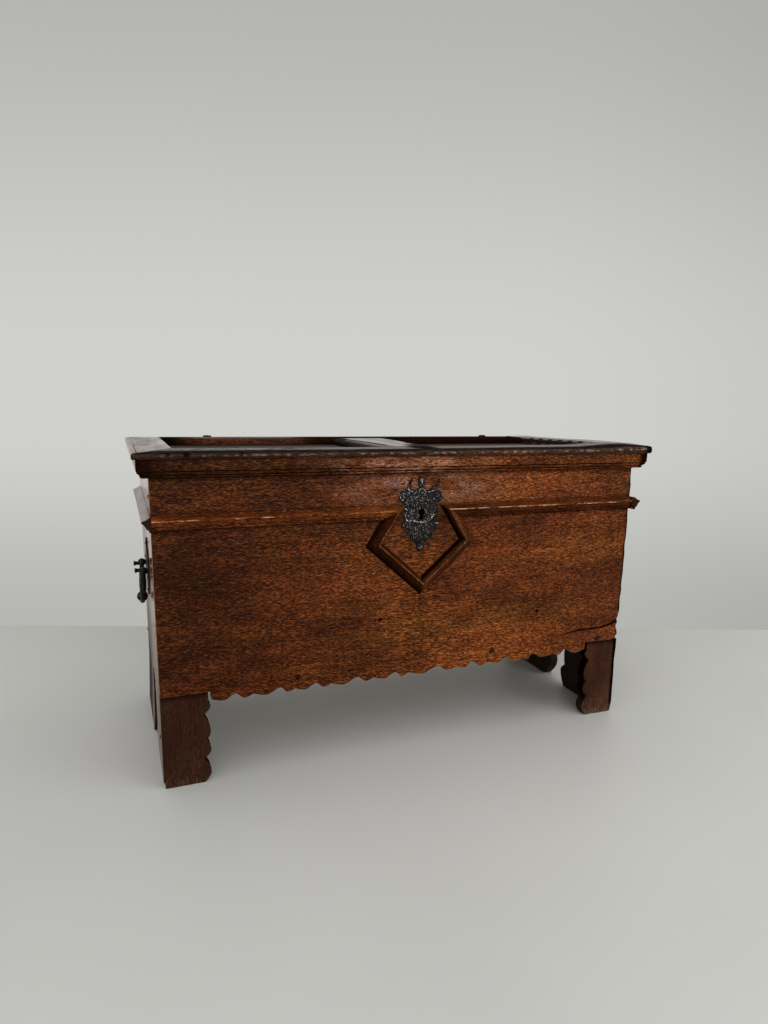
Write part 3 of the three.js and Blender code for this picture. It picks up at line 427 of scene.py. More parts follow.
def wander(place, pitch, seed):
    """Smooth random line: random heights from -1 to 1 at whole multiples of pitch, joined by
    s = t * t * (3 - 2 t)."""
    heights = np.random.default_rng(seed).uniform(-1, 1, 4096)
    step = np.asarray(place) / pitch + 2048
    base = np.floor(step).astype(int)
    share = step - base
    share = share * share * (3 - 2 * share)
    return heights[base % 4096] * (1 - share) + heights[(base + 1) % 4096] * share


def ripple(a, b, pitch_a, pitch_b, seed):
    """Smooth random surface: the same joining in two directions over a grid of random heights."""
    heights = np.random.default_rng(seed).uniform(-1, 1, (256, 256))
    step_a, step_b = a / pitch_a + 128, b / pitch_b + 128
    base_a, base_b = np.floor(step_a).astype(int), np.floor(step_b).astype(int)
    share_a, share_b = step_a - base_a, step_b - base_b
    share_a, share_b = share_a**2 * (3 - 2 * share_a), share_b**2 * (3 - 2 * share_b)
    rows = [
        heights[base_a % 256, (base_b + j) % 256] * (1 - share_a)
        + heights[(base_a + 1) % 256, (base_b + j) % 256] * share_a
        for j in (0, 1)
    ]
    return rows[0] * (1 - share_b) + rows[1] * share_b


def rise(value, low, high):
    """Smooth step from 0 at low to 1 at high: t * t * (3 - 2 t)."""
    share = np.clip((value - low) / (high - low), 0, 1)
    return share * share * (3 - 2 * share)


def hump(value, width):
    """Bell round zero: exp(-(value / width) squared)."""
    return np.exp(-((value / width) ** 2))


def board(along, low, high, thick, ease, rows):
    """Rings of a board with rounded arrises. Point k of the ring at s lies low(s) + share * width + ease * a
    across the board and thick * t + ease * e into it. Near both ends the ring draws in by
    ease * (1 - sin turn) at ease * (1 - cos turn) from the end. Returns s, across, depth and the front face's
    mask."""
    turn = np.linspace(0, np.pi / 2, 4)
    sine, cosine = np.sin(turn), np.cos(turn)
    one, nil = np.ones(4), np.zeros(4)
    flat = np.zeros(len(rows))
    share = np.concatenate([rows, one[1:], one, nil, nil[:-1]])
    a = np.concatenate([1 - 2 * rows, (sine - 1)[1:], cosine - 1, 1 - sine, (1 - cosine)[:-1]])
    e = np.concatenate([flat, (1 - cosine)[1:], sine - 1, cosine - 1, (1 - sine)[:-1]])
    t = np.concatenate([flat, nil[1:], one, one, nil[:-1]])
    face = np.concatenate([flat + 1, cosine[1:] * 0.5, nil, nil, (sine * 0.5)[:-1]])
    inner = along[(along > along[0] + 1.5 * ease) & (along < along[-1] - 1.5 * ease)]
    station = np.concatenate([along[0] + ease * (1 - cosine), inner, along[-1] - ease * (1 - cosine[::-1])])
    draw = np.concatenate([ease * (1 - sine), np.zeros(len(inner)), ease * (1 - sine[::-1])])[:, None]
    below, above = low(station)[:, None], high(station)[:, None]
    across = below + share * (above - below) + ease * a + draw * (1 - 2 * share)
    depth = thick * t + ease * e + draw * (1 - 2 * t)
    return np.broadcast_to(station[:, None], across.shape), across, depth, np.broadcast_to(face, across.shape)


def swept(profile, ends, mitres, place, wear, seed, soot_and_shade=(0.0, 0.0, 0.0), lines=(0.25, 1.0), bright=1.0):
    """Carry a closed profile (a, b) from one corner to the next. At t along the way, point k lies at
    (1 - t) * corner0 + t * corner1 + a * ((1 - t) * mitre0 + t * mitre1), and stands b - worn out from its
    face, where worn is largest on the profile's crests. Soot is painted shade: how dark the inner bead, the
    slope up to the crest and the faces after it are. Lines is how dark the creases are, as painted shade, and
    bright how pale the crest is, as rubbed wear and painted highlight."""
    profile, ends, mitres = np.array(profile), np.array(ends, float), np.array(mitres, float)
    length = np.hypot(*(ends[1] - ends[0]))
    t = np.linspace(0, 1, max(3, int(length / SWEEP_PITCH)))[:, None, None]
    a, b = profile[:, 0][None, :], profile[:, 1][None, :]
    base = (1 - t) * ends[0] + t * ends[1]
    way = (1 - t) * mitres[0] + t * mitres[1]
    flat = base + a[..., None] * way
    run = t[..., 0] * length
    tall, top = b.max(), b.argmax()
    order = np.arange(b.size)
    chip = np.maximum(ripple(run + 0 * a, 0 * run + a * 6, 0.019, 0.02, seed) - 0.45, 0) * 2.2
    worn = wear * rise(b, 0.3 * tall, tall) * (0.35 + 0.35 * wander(run, 0.11, seed + 1) + chip)
    between = 0.5 * (np.roll(b, 1) + np.roll(b, -1))
    crease = np.abs(b - between) * (b < between)
    crease_shade = rise(-b, -0.3 * tall, -0.05 * tall) * (b > 0) + rise(crease, 0.01 * tall, 0.05 * tall)
    crease_shade = crease_shade * np.where(order < top, *lines)
    crease_shade = crease_shade + np.select([order < BEAD_POINTS, order < top, order > top + 1], soot_and_shade, 0.0)
    # Painted highlight on the upper slope where the bead is unshaded, and on the crest beside its rubbed
    # wear.
    slope = 0.12 * (order < top) * (b > 0.5 * tall) * (1 - soot_and_shade[0])
    arris = bright * hump(b - tall, 0.03 * tall)
    rubbed = np.clip(arris * (0.75 + 0.45 * wander(run, 0.03, seed + 2)) + slope, 0, 1)
    ends_black = 0.9 * (t[..., 0] == 0) * (lines[1] == 0)
    return shell(place(flat[..., 0], flat[..., 1], b - worn), rubbed, crease_shade + ends_black)


def flowing(points, count):
    """Smooth path through control points: between two of them lies the Catmull-Rom cubic
    0.5 * (2 p1 + (p2 - p0) t + (2 p0 - 5 p1 + 4 p2 - p3) t^2 + (3 p1 - p0 - 3 p2 + p3) t^3)."""
    points = np.array(points, float)
    padded = np.vstack([2 * points[0] - points[1], points, 2 * points[-1] - points[-2]])
    step = np.linspace(0, len(points) - 1 - 1e-9, count)
    base = step.astype(int)
    t = (step - base)[:, None]
    p0, p1, p2, p3 = (padded[base + i] for i in range(4))
    square, cube = 2 * p0 - 5 * p1 + 4 * p2 - p3, 3 * (p1 - p2) + p3 - p0
    return 0.5 * (2 * p1 + (p2 - p0) * t + square * t**2 + cube * t**3)


def tube(path, radius, side, around=16):
    """Rings round a path: point k of ring i is path_i + radius_i * (cos(turn_k) * n_i + sin(turn_k) * b_i),
    where b_i is square to the path and to side, and n_i is square to both."""
    along = np.gradient(path, axis=0)
    b = np.cross(along, side)
    b /= np.linalg.norm(b, axis=1)[:, None]
    n = np.cross(b, along)
    n /= np.linalg.norm(n, axis=1)[:, None]
    turn = np.linspace(0, 2 * np.pi, around, endpoint=False)[None, :, None]
    radius = np.broadcast_to(radius, len(path))[:, None, None]
    return path[:, None] + radius * (np.cos(turn) * n[:, None] + np.sin(turn) * b[:, None])


def turned(foot, way, profile, around=20):
    """Turned form: ring i stands height i along the way from the foot, and has radius i."""
    way = np.array(way, float)
    radius, height = (part[:, None, None] for part in np.array(profile, float).T)
    b = np.cross(way, (0, 0, 1) if abs(way[2]) < 0.9 else (1, 0, 0))
    b /= np.linalg.norm(b)
    n = np.cross(b, way)
    turn = np.linspace(0, 2 * np.pi, around, endpoint=False)[None, :, None]
    return np.array(foot) + height * way + radius * (np.cos(turn) * n + np.sin(turn) * b)


def bar(low, high, ease=IRON_EASE):
    """Flat iron bar between any two corners: rounded oblong rings along its longest side that draw in at both
    ends."""
    low, high = np.sort(np.array([low, high], float), axis=0)
    order = np.argsort(-(high - low))
    size, middle = ((high - low) / 2)[order], ((high + low) / 2)[order]
    turn = np.linspace(0, np.pi / 2, 4)
    sweep = np.concatenate([turn + quarter * np.pi / 2 for quarter in range(4)])
    sign = np.repeat(np.array([(1, 1), (-1, 1), (-1, -1), (1, -1)]), 4, axis=0)
    draw, step = ease * (1 - np.sin(turn)), size[0] - ease * (1 - np.cos(turn))
    inset = np.concatenate([draw, [0, 0], draw[::-1]])
    along = np.concatenate([-step, [-0.3 * size[0], 0.3 * size[0]], step[::-1]])
    points = np.zeros((len(along), len(sweep), 3))
    points[..., order[0]] = middle[0] + along[:, None]
    for i in (0, 1):
        ring = sign[:, i] * (size[i + 1] - ease) + ease * (np.cos(sweep), np.sin(sweep))[i]
        points[..., order[i + 1]] = middle[i + 1] + ring * (1 - inset[:, None] / size[i + 1])
    return points


def reach(points, line):
    """Nearest place on a broken line, and the distance to it. The nearest place of one side is
    a + clip((p - a) . (b - a) / |b - a|^2, 0, 1) * (b - a)."""
    a, way = line[:-1], np.diff(line, axis=0)
    share = np.clip(np.einsum("psc,sc->ps", points[:, None] - a, way) / (way**2).sum(1), 0, 1)
    places = a + share[..., None] * way
    gap = np.linalg.norm(points[:, None] - places, axis=2)
    rows, pick = np.arange(len(points)), gap.argmin(1)
    return places[rows, pick], gap[rows, pick]


def within(points, line):
    """Whether points lie in a closed line: a level ray from the point crosses it an odd number of times."""
    (ax, az), (bx, bz) = line[:-1].T, line[1:].T
    x, z = points[:, 0, None], points[:, 1, None]
    straddles = (az > z) != (bz > z)
    crossing = ax + (z - az) * (bx - ax) / np.where(bz == az, 1, bz - az)
    return (straddles & (x < crossing)).sum(1) % 2 == 1


def pierced(outline, hole, pitch):
    """Grid over a plate with a hole: the cells whose corners all lie in the plate, or within half a pitch of
    it. Corners on the rim of what is kept move to the nearest point of the edge. Returns places, depth in
    from the edge, and the quads of the front, the back and the walls between them."""
    low, high = outline.min(0) - pitch, outline.max(0) + pitch
    axes = [np.arange(low[i], high[i] + pitch, pitch) for i in (0, 1)]
    places = np.stack(np.meshgrid(*axes, indexing="ij"), axis=-1).reshape(-1, 2)
    rim, away = reach(places, outline)
    brim, clear = reach(places, hole)
    deep = np.where(within(places, outline), away, -away)
    open_by = np.where(within(places, hole), clear, -clear)
    good = (deep > -0.5 * pitch) & (open_by < 0.5 * pitch)
    index = np.arange(len(places)).reshape(len(axes[0]), len(axes[1]))
    cells = np.stack([index[:-1, :-1], index[1:, :-1], index[1:, 1:], index[:-1, 1:]], axis=-1).reshape(-1, 4)
    cells = cells[good[cells].all(axis=1)]
    sides = np.stack([cells, np.roll(cells, -1, axis=1)], axis=-1).reshape(-1, 2)
    code, back = sides[:, 0] * len(places) + sides[:, 1], sides[:, 1] * len(places) + sides[:, 0]
    edge = sides[~np.isin(code, back)]
    border = np.unique(edge)
    near_hole = clear[border] < away[border]
    places[border] = np.where(near_hole[:, None], brim[border], rim[border])
    depth = np.minimum(np.abs(deep), np.abs(open_by))
    depth[border] = 0
    used = np.unique(cells)
    fresh = np.zeros(len(places), int)
    fresh[used] = np.arange(len(used))
    cells, edge, count = fresh[cells], fresh[edge], len(used)
    walls = np.stack([edge[:, 1], edge[:, 0], edge[:, 0] + count, edge[:, 1] + count], axis=-1)
    return places[used], depth[used], np.concatenate([cells, cells[:, ::-1] + count, walls])


def mitre(before, after):
    """The way of a unit of offset along the mitre between two directions' left-hand sides:
    (p + q) / (1 + p . q)."""
    p, q = (np.array([-way[1], way[0]]) for way in (before, after))
    return (p + q) / (1 + p @ q)


# Finishes

class Finish:
    """Short ways to add and join a material's nodes"""

    def __init__(self, name):
        self.material = bpy.data.materials.new(name)
        self.material.use_nodes = True
        self.tree = self.material.node_tree
        self.tree.nodes.clear()

    def add(self, kind, inputs=(), **settings):
        node = self.tree.nodes.new(kind)
        for key, value in settings.items():
            setattr(node, key, value)
        for key, value in dict(inputs).items():
            if isinstance(value, bpy.types.NodeSocket):
                self.tree.links.new(value, node.inputs[key])
            else:
                node.inputs[key].default_value = value
        return node

    def place(self):
        return self.add("ShaderNodeTexCoord").outputs["Object"]

    def split(self, vector):
        return self.add("ShaderNodeSeparateXYZ", {0: vector}).outputs

    def grey(self, value):
        return self.add("ShaderNodeCombineColor", {0: value, 1: value, 2: value}).outputs[0]

    def math(self, operation, a, b=0.0, clamp=False):
        return self.add("ShaderNodeMath", {0: a, 1: b}, operation=operation, use_clamp=clamp).outputs[0]

    def vector(self, operation, a, b):
        return self.add("ShaderNodeVectorMath", {0: a, 1: b}, operation=operation).outputs

    def times(self, a, b):
        return self.math("MULTIPLY", a, b)

    def plus(self, a, b, share=1.0):
        return self.math("ADD", a, b if share == 1.0 else self.times(b, share))

    def span(self, value, low, high, start=0.0, end=1.0):
        keys = {"Value": value, "From Min": low, "From Max": high, "To Min": start, "To Max": end}
        return self.add("ShaderNodeMapRange", keys, interpolation_type="SMOOTHSTEP").outputs[0]

    def mix(self, share, a, b, kind="MIX"):
        node = self.add("ShaderNodeMix", {0: share, 6: a, 7: b}, data_type="RGBA", blend_type=kind)
        return node.outputs[2]

    def tinted(self, colour, tint, share=1.0):
        return self.mix(share, colour, tint, "MULTIPLY")

    def noise(self, vector, scale, detail=2.0, roughness=0.5, shift=(0, 0, 0), distortion=0.0, output="Fac"):
        keys = {"Vector": vector, "Scale": scale, "Location": shift}
        keys = {"Vector": self.add("ShaderNodeMapping", keys).outputs[0], "Scale": 1.0, "Detail": detail}
        keys |= {"Roughness": roughness, "Distortion": distortion}
        return self.add("ShaderNodeTexNoise", keys).outputs[output]

    def marked(self, name):
        return self.add("ShaderNodeAttribute", attribute_name=name).outputs["Fac"]

    def finished(self, colour, roughness, height, strength, **sockets):
        bump = self.add("ShaderNodeBump", {"Strength": strength, "Distance": 0.001, "Height": height})
        keys = {"Base Color": colour, "Roughness": roughness, "Normal": bump.outputs[0]}
        keys |= {name.replace("_", " "): value for name, value in sockets.items()}
        surface = self.add("ShaderNodeBsdfPrincipled", keys)
        self.add("ShaderNodeOutputMaterial", {"Surface": surface.outputs[0]})
        return self.material


def solid(colour):
    """A colour as a node's socket takes it."""
    return (*colour, 1.0)


def scaled(colour, share, warm=1.0):
    """A lighter or darker colour. Green and blue also take one and two parts of warm."""
    return [colour[0] * share, colour[1] * share * warm, colour[2] * share * warm**2]


def along_grain(grain, along, across):
    """Scale for a pattern that is stretched along one axis."""
    return tuple(along if axis == grain else across for axis in "XYZ")


def oak(name, grain, dark, middle, light, rubbed, gloss, shine, relief=0.35, seed=0.0, marks=None):
    """Old waxed oak: wavy growth rings, short pale flecks, dark pores, broad stains, grime and painted shade
    in hollows, and paler rubbed arrises with painted highlights."""
    make = Finish(name)
    place = make.place()
    shift = (seed, seed * 1.7, seed * 0.6)

    def pattern(along, across, detail, roughness, distortion=0.0, vector=place, offset=shift):
        return make.noise(vector, along_grain(grain, along, across), detail, roughness, offset, distortion)

    waver = make.noise(place, along_grain(grain, 2.4, 7.0), shift=shift, output="Color")
    pull = make.vector("SUBTRACT", waver, (0.5, 0.5, 0.5))[0]
    pull = make.vector("MULTIPLY", pull, along_grain(grain, 0.0, 0.022))[0]
    wavy = make.vector("ADD", place, pull)[0]
    rings = pattern(10.0, 130.0, 3.0, 0.6, vector=wavy)
    flecks = pattern(100.0, 1250.0, 2.0, 0.65, 0.3, wavy)
    dashes = pattern(90.0, 1250.0, 1.0, 0.5, 0.2, wavy)
    pores = pattern(110.0, 1600.0, 1.0, 0.5, vector=wavy)
    stains_and_shade = pattern(2.2, 4.6, 3.0, 0.55)
    blotches = pattern(8.0, 24.0, 3.0, 0.6)
    figure = make.plus(make.times(flecks, 0.76), rings, 0.24)
    colour = make.mix(make.span(figure, 0.32, 0.43), solid(dark), solid(middle))
    colour = make.mix(make.span(figure, 0.54, 0.66), colour, solid(light))
    colour = make.mix(make.span(dashes, 0.56, 0.65, 0.0, 0.95), colour, solid(light))
    colour = make.mix(make.span(pores, 0.58, 0.66, 0.0, 0.45), colour, solid(dark))
    tone = make.plus(make.times(stains_and_shade, 0.6), blotches, 0.4)
    colour = make.tinted(colour, make.grey(make.span(tone, 0.36, 0.64, 0.56, 1.44)))
    hue = make.span(pattern(4.0, 13.0, 3.0, 0.6, offset=(5, 9, 2)), 0.38, 0.62)
    colour = make.tinted(colour, make.mix(hue, (1.01, 0.93, 0.93, 1.0), (0.985, 1.06, 1.0, 1.0)))
    # The rubbed mark pales the colour: wear, and painted highlights on the mouldings' crests and upper
    # slopes.
    wear, grime = make.marked("rubbed"), make.marked("grime")
    scuffs = pattern(110.0, 420.0, 3.0, 0.7)
    bare = make.span(make.plus(scuffs, wear, 0.45), 0.72, 0.95)
    colour = make.mix(make.times(bare, 0.9), colour, solid(rubbed))
    if marks:
        colour, soot_and_shade = marks(make, place, colour)
        grime = make.plus(grime, soot_and_shade)
    # The grime mark darkens the colour: dirt, and painted shade in hollows, recesses and on faces turned from
    # the light.
    grime = make.math("MAXIMUM", grime, 0.0, True)
    colour = make.mix(grime, colour, solid(scaled(dark, 0.5)))
    height = make.plus(make.times(flecks, 0.35), rings, 0.25)
    height = make.math("SUBTRACT", height, make.span(pores, 0.58, 0.72, 0.0, 0.4))
    height = make.plus(height, blotches, 0.5)
    polish = make.plus(make.span(blotches, 0.3, 0.7, gloss - 0.05, gloss + 0.09), grime, 0.45)
    shine = make.span(grime, 0.0, 1.0, shine, shine * 0.1)
    return make.finished(colour, polish, height, relief, Specular_IOR_Level=shine)


def iron(name, black, bare, gloss):
    """Blackened wrought iron: hammered, speckled and rubbed bright on its high places, where the pale specks
    are also painted glints.
    """
    make = Finish(name)
    place = make.place()
    hammer = make.noise(place, (150, 150, 150), 3.0, 0.6)
    pits = make.noise(place, (430, 430, 430), 2.0, 0.6)
    rust = make.noise(place, (60, 60, 60), 3.0, 0.6, (3, 1, 2))
    colour = make.mix(make.span(rust, 0.45, 0.72, 0.0, 0.5), solid(black), (0.035, 0.016, 0.009, 1.0))
    # The pale bare specks are rubbed iron and painted glints.
    shine = make.span(make.plus(pits, make.marked("rubbed"), 0.22), 0.65, 0.76)
    colour = make.mix(shine, colour, solid(bare))
    rough = make.span(shine, 0.0, 1.0, gloss + 0.12, gloss - 0.1)
    return make.finished(colour, rough, make.plus(hammer, pits, 0.9), 0.8, Metallic=0.8)


def finish(key):
    """Find one of the finishes by its key."""
    return bpy.data.materials[key]


def spot(make, place, middle, size, start=0.4, end=1.8):
    """A round or stretched spot: 1 inside, 0 outside, with a soft edge."""
    squeezed = make.vector("MULTIPLY", place, [1 / part for part in size])[0]
    away = make.vector("DISTANCE", squeezed, [a / b for a, b in zip(middle, size)])["Value"]
    return make.span(away, start, end, 1.0, 0.0)


def left_shade(make, place, colour, start=0.5, far=0.2):
    """Painted shade: the front grows darker towards its left end, where less light falls."""
    return make.tinted(colour, make.grey(make.span(make.split(place)[0], -0.62, far, start, 1.0)))


def painted_sheen(make, place, colour, middle, size):
    """Painted sheen: a pale, speckled patch that stands in for a reflection."""
    patches = make.span(make.noise(place, (14, 14, 40), 3.0, 0.6), 0.36, 0.62)
    share = make.times(spot(make, place, middle, size, 0.2, 1.3), patches)
    speckle = make.span(make.noise(place, (110, 110, 700), 2.0, 0.6), 0.46, 0.62, 0.0, 0.95)
    return make.mix(make.times(share, speckle), colour, (0.44, 0.23, 0.15, 1.0))


def front_marks(make, place, colour):
    """Dark knots, painted shade towards the left end, a painted sheen on the frieze under the lid, a golden
    tone low down and the bluish smear by the lock plate."""
    colour = left_shade(make, place, colour)
    gold = spot(make, place, (0.12, FRONT, 0.27), (0.4, 0.3, 0.14), 0.1, 1.2)
    colour = make.tinted(colour, (1.15, 1.3, 1.25, 1.0), gold)
    # Painted sheen: the frieze above the string course is paler and bluer.
    frieze = make.span(make.split(place)[2], STRING_TOP - 0.004, STRING_TOP)
    colour = make.tinted(colour, (1.36, 1.42, 1.6, 1.0), frieze)
    colour = painted_sheen(make, place, colour, (0.01, FRONT, 0.64), (0.22, 0.3, 0.05))
    patch = make.span(make.noise(place, (90, 90, 300), 2.0), 0.4, 0.6)
    smear = spot(make, place, (-0.078, FRONT, 0.648), (0.022, 0.022, 0.008), 0.3, 1.5)
    colour = make.mix(make.times(make.times(smear, patch), 0.65), colour, (0.1, 0.1, 0.15, 1.0))
    soot_and_shade = 0.0
    for x, z, size in KNOTS:
        soot_and_shade = make.plus(spot(make, place, (x, FRONT, z), (size, size, size), 0.6, 1.7), soot_and_shade)
    return colour, soot_and_shade


def string_marks(make, place, colour):
    """The string course's right end is broken and black."""
    return colour, make.span(make.split(place)[0], 0.586, 0.606)


def skirt_marks(make, place, colour):
    """The lid's moulding is black at both ends, darker towards the left with painted shade, and paler in the
    middle with a painted sheen.
    """
    colour = left_shade(make, place, colour, 0.16, 0.1)
    colour = painted_sheen(make, place, colour, (-0.04, FRONT, 0.69), (0.22, 0.3, 0.06))
    x = make.split(place)[0]
    left = make.math("SUBTRACT", 0.9, make.span(x, -0.64, -0.54), True)
    return colour, make.plus(left, make.span(x, 0.594, 0.612))


def foot_marks(make, place, colour):
    """The feet are darker towards the left with painted shade, paler and greyer near the floor, redder above,
    and black along the right foot's outer edge."""
    colour = left_shade(make, place, colour, 0.7)
    x, y, z = make.split(place)
    low = make.span(make.plus(z, make.noise(place, (30, 30, 30)), 0.05), 0.04, 0.12, 1.0, 0.0)
    low = make.times(low, make.span(x, 0.3, 0.5, 0.3, 1.0))
    colour = make.tinted(colour, (1.7, 2.2, 2.4, 1.0), low)
    edge = make.plus(x, make.noise(place, (25, 25, 25)), 0.016)
    return colour, make.span(edge, 0.585, 0.592)


def side_marks(make, place, colour):
    """The side boards' rear feet are black low down, with painted shade on their sawn edges, and the boards
    are darker behind the handle and low down."""
    x, y, z = make.split(place)
    facing = make.split(make.add("ShaderNodeNewGeometry").outputs["True Normal"])[0]
    sawn_edge_shade = make.span(make.math("ABSOLUTE", facing), 0.5, 0.8, 1.0, 0.0)
    ragged_height = make.plus(z, make.noise(place, (14, 14, 7), 3.0, 0.6), 0.06)
    foot = make.math("MAXIMUM", make.span(y, 0.06, 0.15), sawn_edge_shade)
    foot = make.times(foot, make.span(ragged_height, 0.14, 0.24, 1.0, 0.0))
    rear = make.times(make.span(y, -0.06, 0.02, 0.0, 0.2), make.span(z, 0.5, 0.6, 1.0, 0.0))
    return colour, make.plus(make.plus(foot, rear), make.span(z, 0.2, 0.48, 0.42, 0.0))


def recess_marks(make, place, colour):
    """Painted shade: the rear rail's face is black in the corners of the recesses and along its foot."""
    x, y, z = make.split(place)
    corner = make.plus(make.span(x, -0.53, -0.43, 1.0, 0.0), make.span(x, -0.22, -0.12, 0.0, 0.9))
    return colour, make.plus(corner, make.span(z, 0.702, 0.712, 0.9, 0.0))


def muntin_marks(make, place, colour):
    """A crack runs along the muntin between black patches of painted shade, and its left side is darker with
    painted shade.
    """
    x, y, z = make.split(place)
    gap = make.math("ADD", make.plus(x, y, 0.125), 0.0376)
    gap = make.plus(gap, make.noise(place, (30, 30, 30)), 0.008)
    side = make.span(gap, -0.004, 0.002, 0.4, 0.0)
    crack = make.span(make.math("ABSOLUTE", gap), 0.005, 0.011, 1.0, 0.0)
    crack = make.times(crack, make.span(y, -0.12, -0.08))
    rear = spot(make, place, (0.08, -0.04, 0.725), (0.026, 0.07, 0.05), 0.6, 1.3)
    near = spot(make, place, (0.05, -0.13, 0.725), (0.034, 0.06, 0.05), 0.6, 1.3)
    left = spot(make, place, (-0.066, 0.18, 0.725), (0.02, 0.06, 0.05), 0.7, 1.4)
    stains_and_shade = make.plus(make.plus(rear, near), make.plus(left, make.span(x, -0.0775, -0.067, 0.95, 0.0)))
    return colour, make.plus(make.plus(crack, side), stains_and_shade)


def rail_marks(make, place, colour):
    """The front rail is darkened towards the left and beside the muntin with painted shade, and is black at
    its right end.
    """
    muntin_shade = spot(make, place, (0.028, -0.18, 0.725), (0.036, 0.06, 0.05), 0.6, 1.3)
    colour = left_shade(make, place, colour, 0.45)
    return colour, make.plus(muntin_shade, make.span(make.split(place)[0], 0.6, 0.626))


class COFFER_OT_finishes(bpy.types.Operator):
    """Make the oak and iron finishes"""

    bl_idname = "coffer.finishes"
    bl_label = "Finishes"

    def execute(self, context):
        wood, metal = context.scene.coffer_oak, context.scene.coffer_iron

        def tones(share, warm=1.0):
            return [scaled(tone, share, warm) for tone in (wood.dark, wood.middle, wood.light, wood.rubbed)]

        deep = [scaled(wood.dark, 0.5), wood.shadow, scaled(wood.shadow, 2.6), scaled(wood.rubbed, 0.3)]
        plain = [scaled(wood.plain, 0.45), wood.plain, scaled(wood.plain, 1.6), scaled(wood.rubbed, 0.6)]
        # Name, grain, colours, roughness, shine, relief, seed and marks.
        rows = (
            ("oak front", "X", tones(1.0), wood.gloss, 0.05, 0.35, 0.0, front_marks),
            ("oak string", "X", tones(1.25), wood.gloss, 0.06, 0.25, 3.1, string_marks),
            ("oak kite", "Z", tones(1.0, 1.05), wood.gloss, 0.05, 0.25, 2.2),
            ("oak skirt", "X", tones(1.35, 1.1), wood.gloss, 0.05, 0.25, 4.4, skirt_marks),
            ("oak skirt end", "Y", tones(0.6), 0.2, 0.7, 0.08, 6.1),
            ("oak string end", "Y", tones(1.0), 0.16, 0.9, 0.02, 5.3),
            ("oak lid rail", "X", tones(0.45, 1.2), 0.3, 0.11, 0.3, 1.9, rail_marks),
            ("oak rear rail", "X", tones(0.65, 1.1), 0.4, 0.05, 0.3, 1.9, recess_marks),
            ("oak lid end", "Y", tones(0.8, 1.3), 0.15, 0.6, 0.05, 2.7),
            ("oak lid muntin", "Y", tones(0.8, 1.3), 0.2, 0.6, 0.05, 2.7, muntin_marks),
            # The lid's panels are made dark as painted shade in their sunk recesses.
            ("oak lid panel", "X", tones(0.15), 0.4, 0.05, 0.5, 3.9),
            # The sides are made pale partly as a painted sheen, for the glancing reflection of the wall.
            ("oak side", "Z", tones(2.2, 1.25), 0.09, 1.0, 0.01, 7.7, side_marks),
            ("dark oak upright", "Z", deep, wood.gloss, 0.05, 0.35, 1.4, foot_marks),
            ("plain oak lengthwise", "X", plain, 0.62, 0.3, 0.3, 8.2),
            ("plain oak across", "Y", plain, 0.62, 0.3, 0.3, 9.4),
        )
        for name, grain, colours, *rest in rows:
            oak(name, grain, *colours, *rest)
        iron("wrought iron", metal.black, metal.bare, metal.gloss)
        return {"FINISHED"}


# Boards

def half_width(z):
    """Half the front's length at a height: the sides lean out evenly from the floor to the rim."""
    return FOOT_HALF + LEAN * z


def lobed(place, stations, belly):
    """A row of lobes: between two stations the edge swells to the belly by sin(pi * share), squared on the
    side of a flowing apex."""
    stations = np.array(stations)
    left = np.clip(np.searchsorted(stations[:, 0], place, "right") - 1, 0, len(stations) - 2)
    start, end = stations[left], stations[left + 1]
    middle = start[:, 3]
    share = np.clip((place - start[:, 0]) / (end[:, 0] - start[:, 0]), 0, 1)
    share = np.where(share < middle, 0.5 * share / middle, 0.5 + 0.5 * (share - middle) / (1 - middle))
    edge = np.where(share < 0.5, start[:, 1], end[:, 1])
    flow = np.where(share < 0.5, start[:, 2], end[:, 2])
    return edge + (belly - edge) * np.sin(np.pi * share) ** (1 + flow)


def apron(x):
    """Lower edge of the front board: lobes between the feet, straight over them."""
    drops = (NOTCH_DROP, APEX_DROP)
    stations = [(share * APRON_HALF, FOOT_TOP - drops[flow], flow, 0.5) for share, flow in APRON_SHARES]
    edge = lobed(x, stations, FOOT_TOP - LOBE_DROP) + 0.0007 * wander(x, 0.012, 31)
    return np.where(np.abs(x) < APRON_HALF, edge, FOOT_TOP)


def rim(x):
    """Upper edge of the front board."""
    return np.full(len(x), RIM)


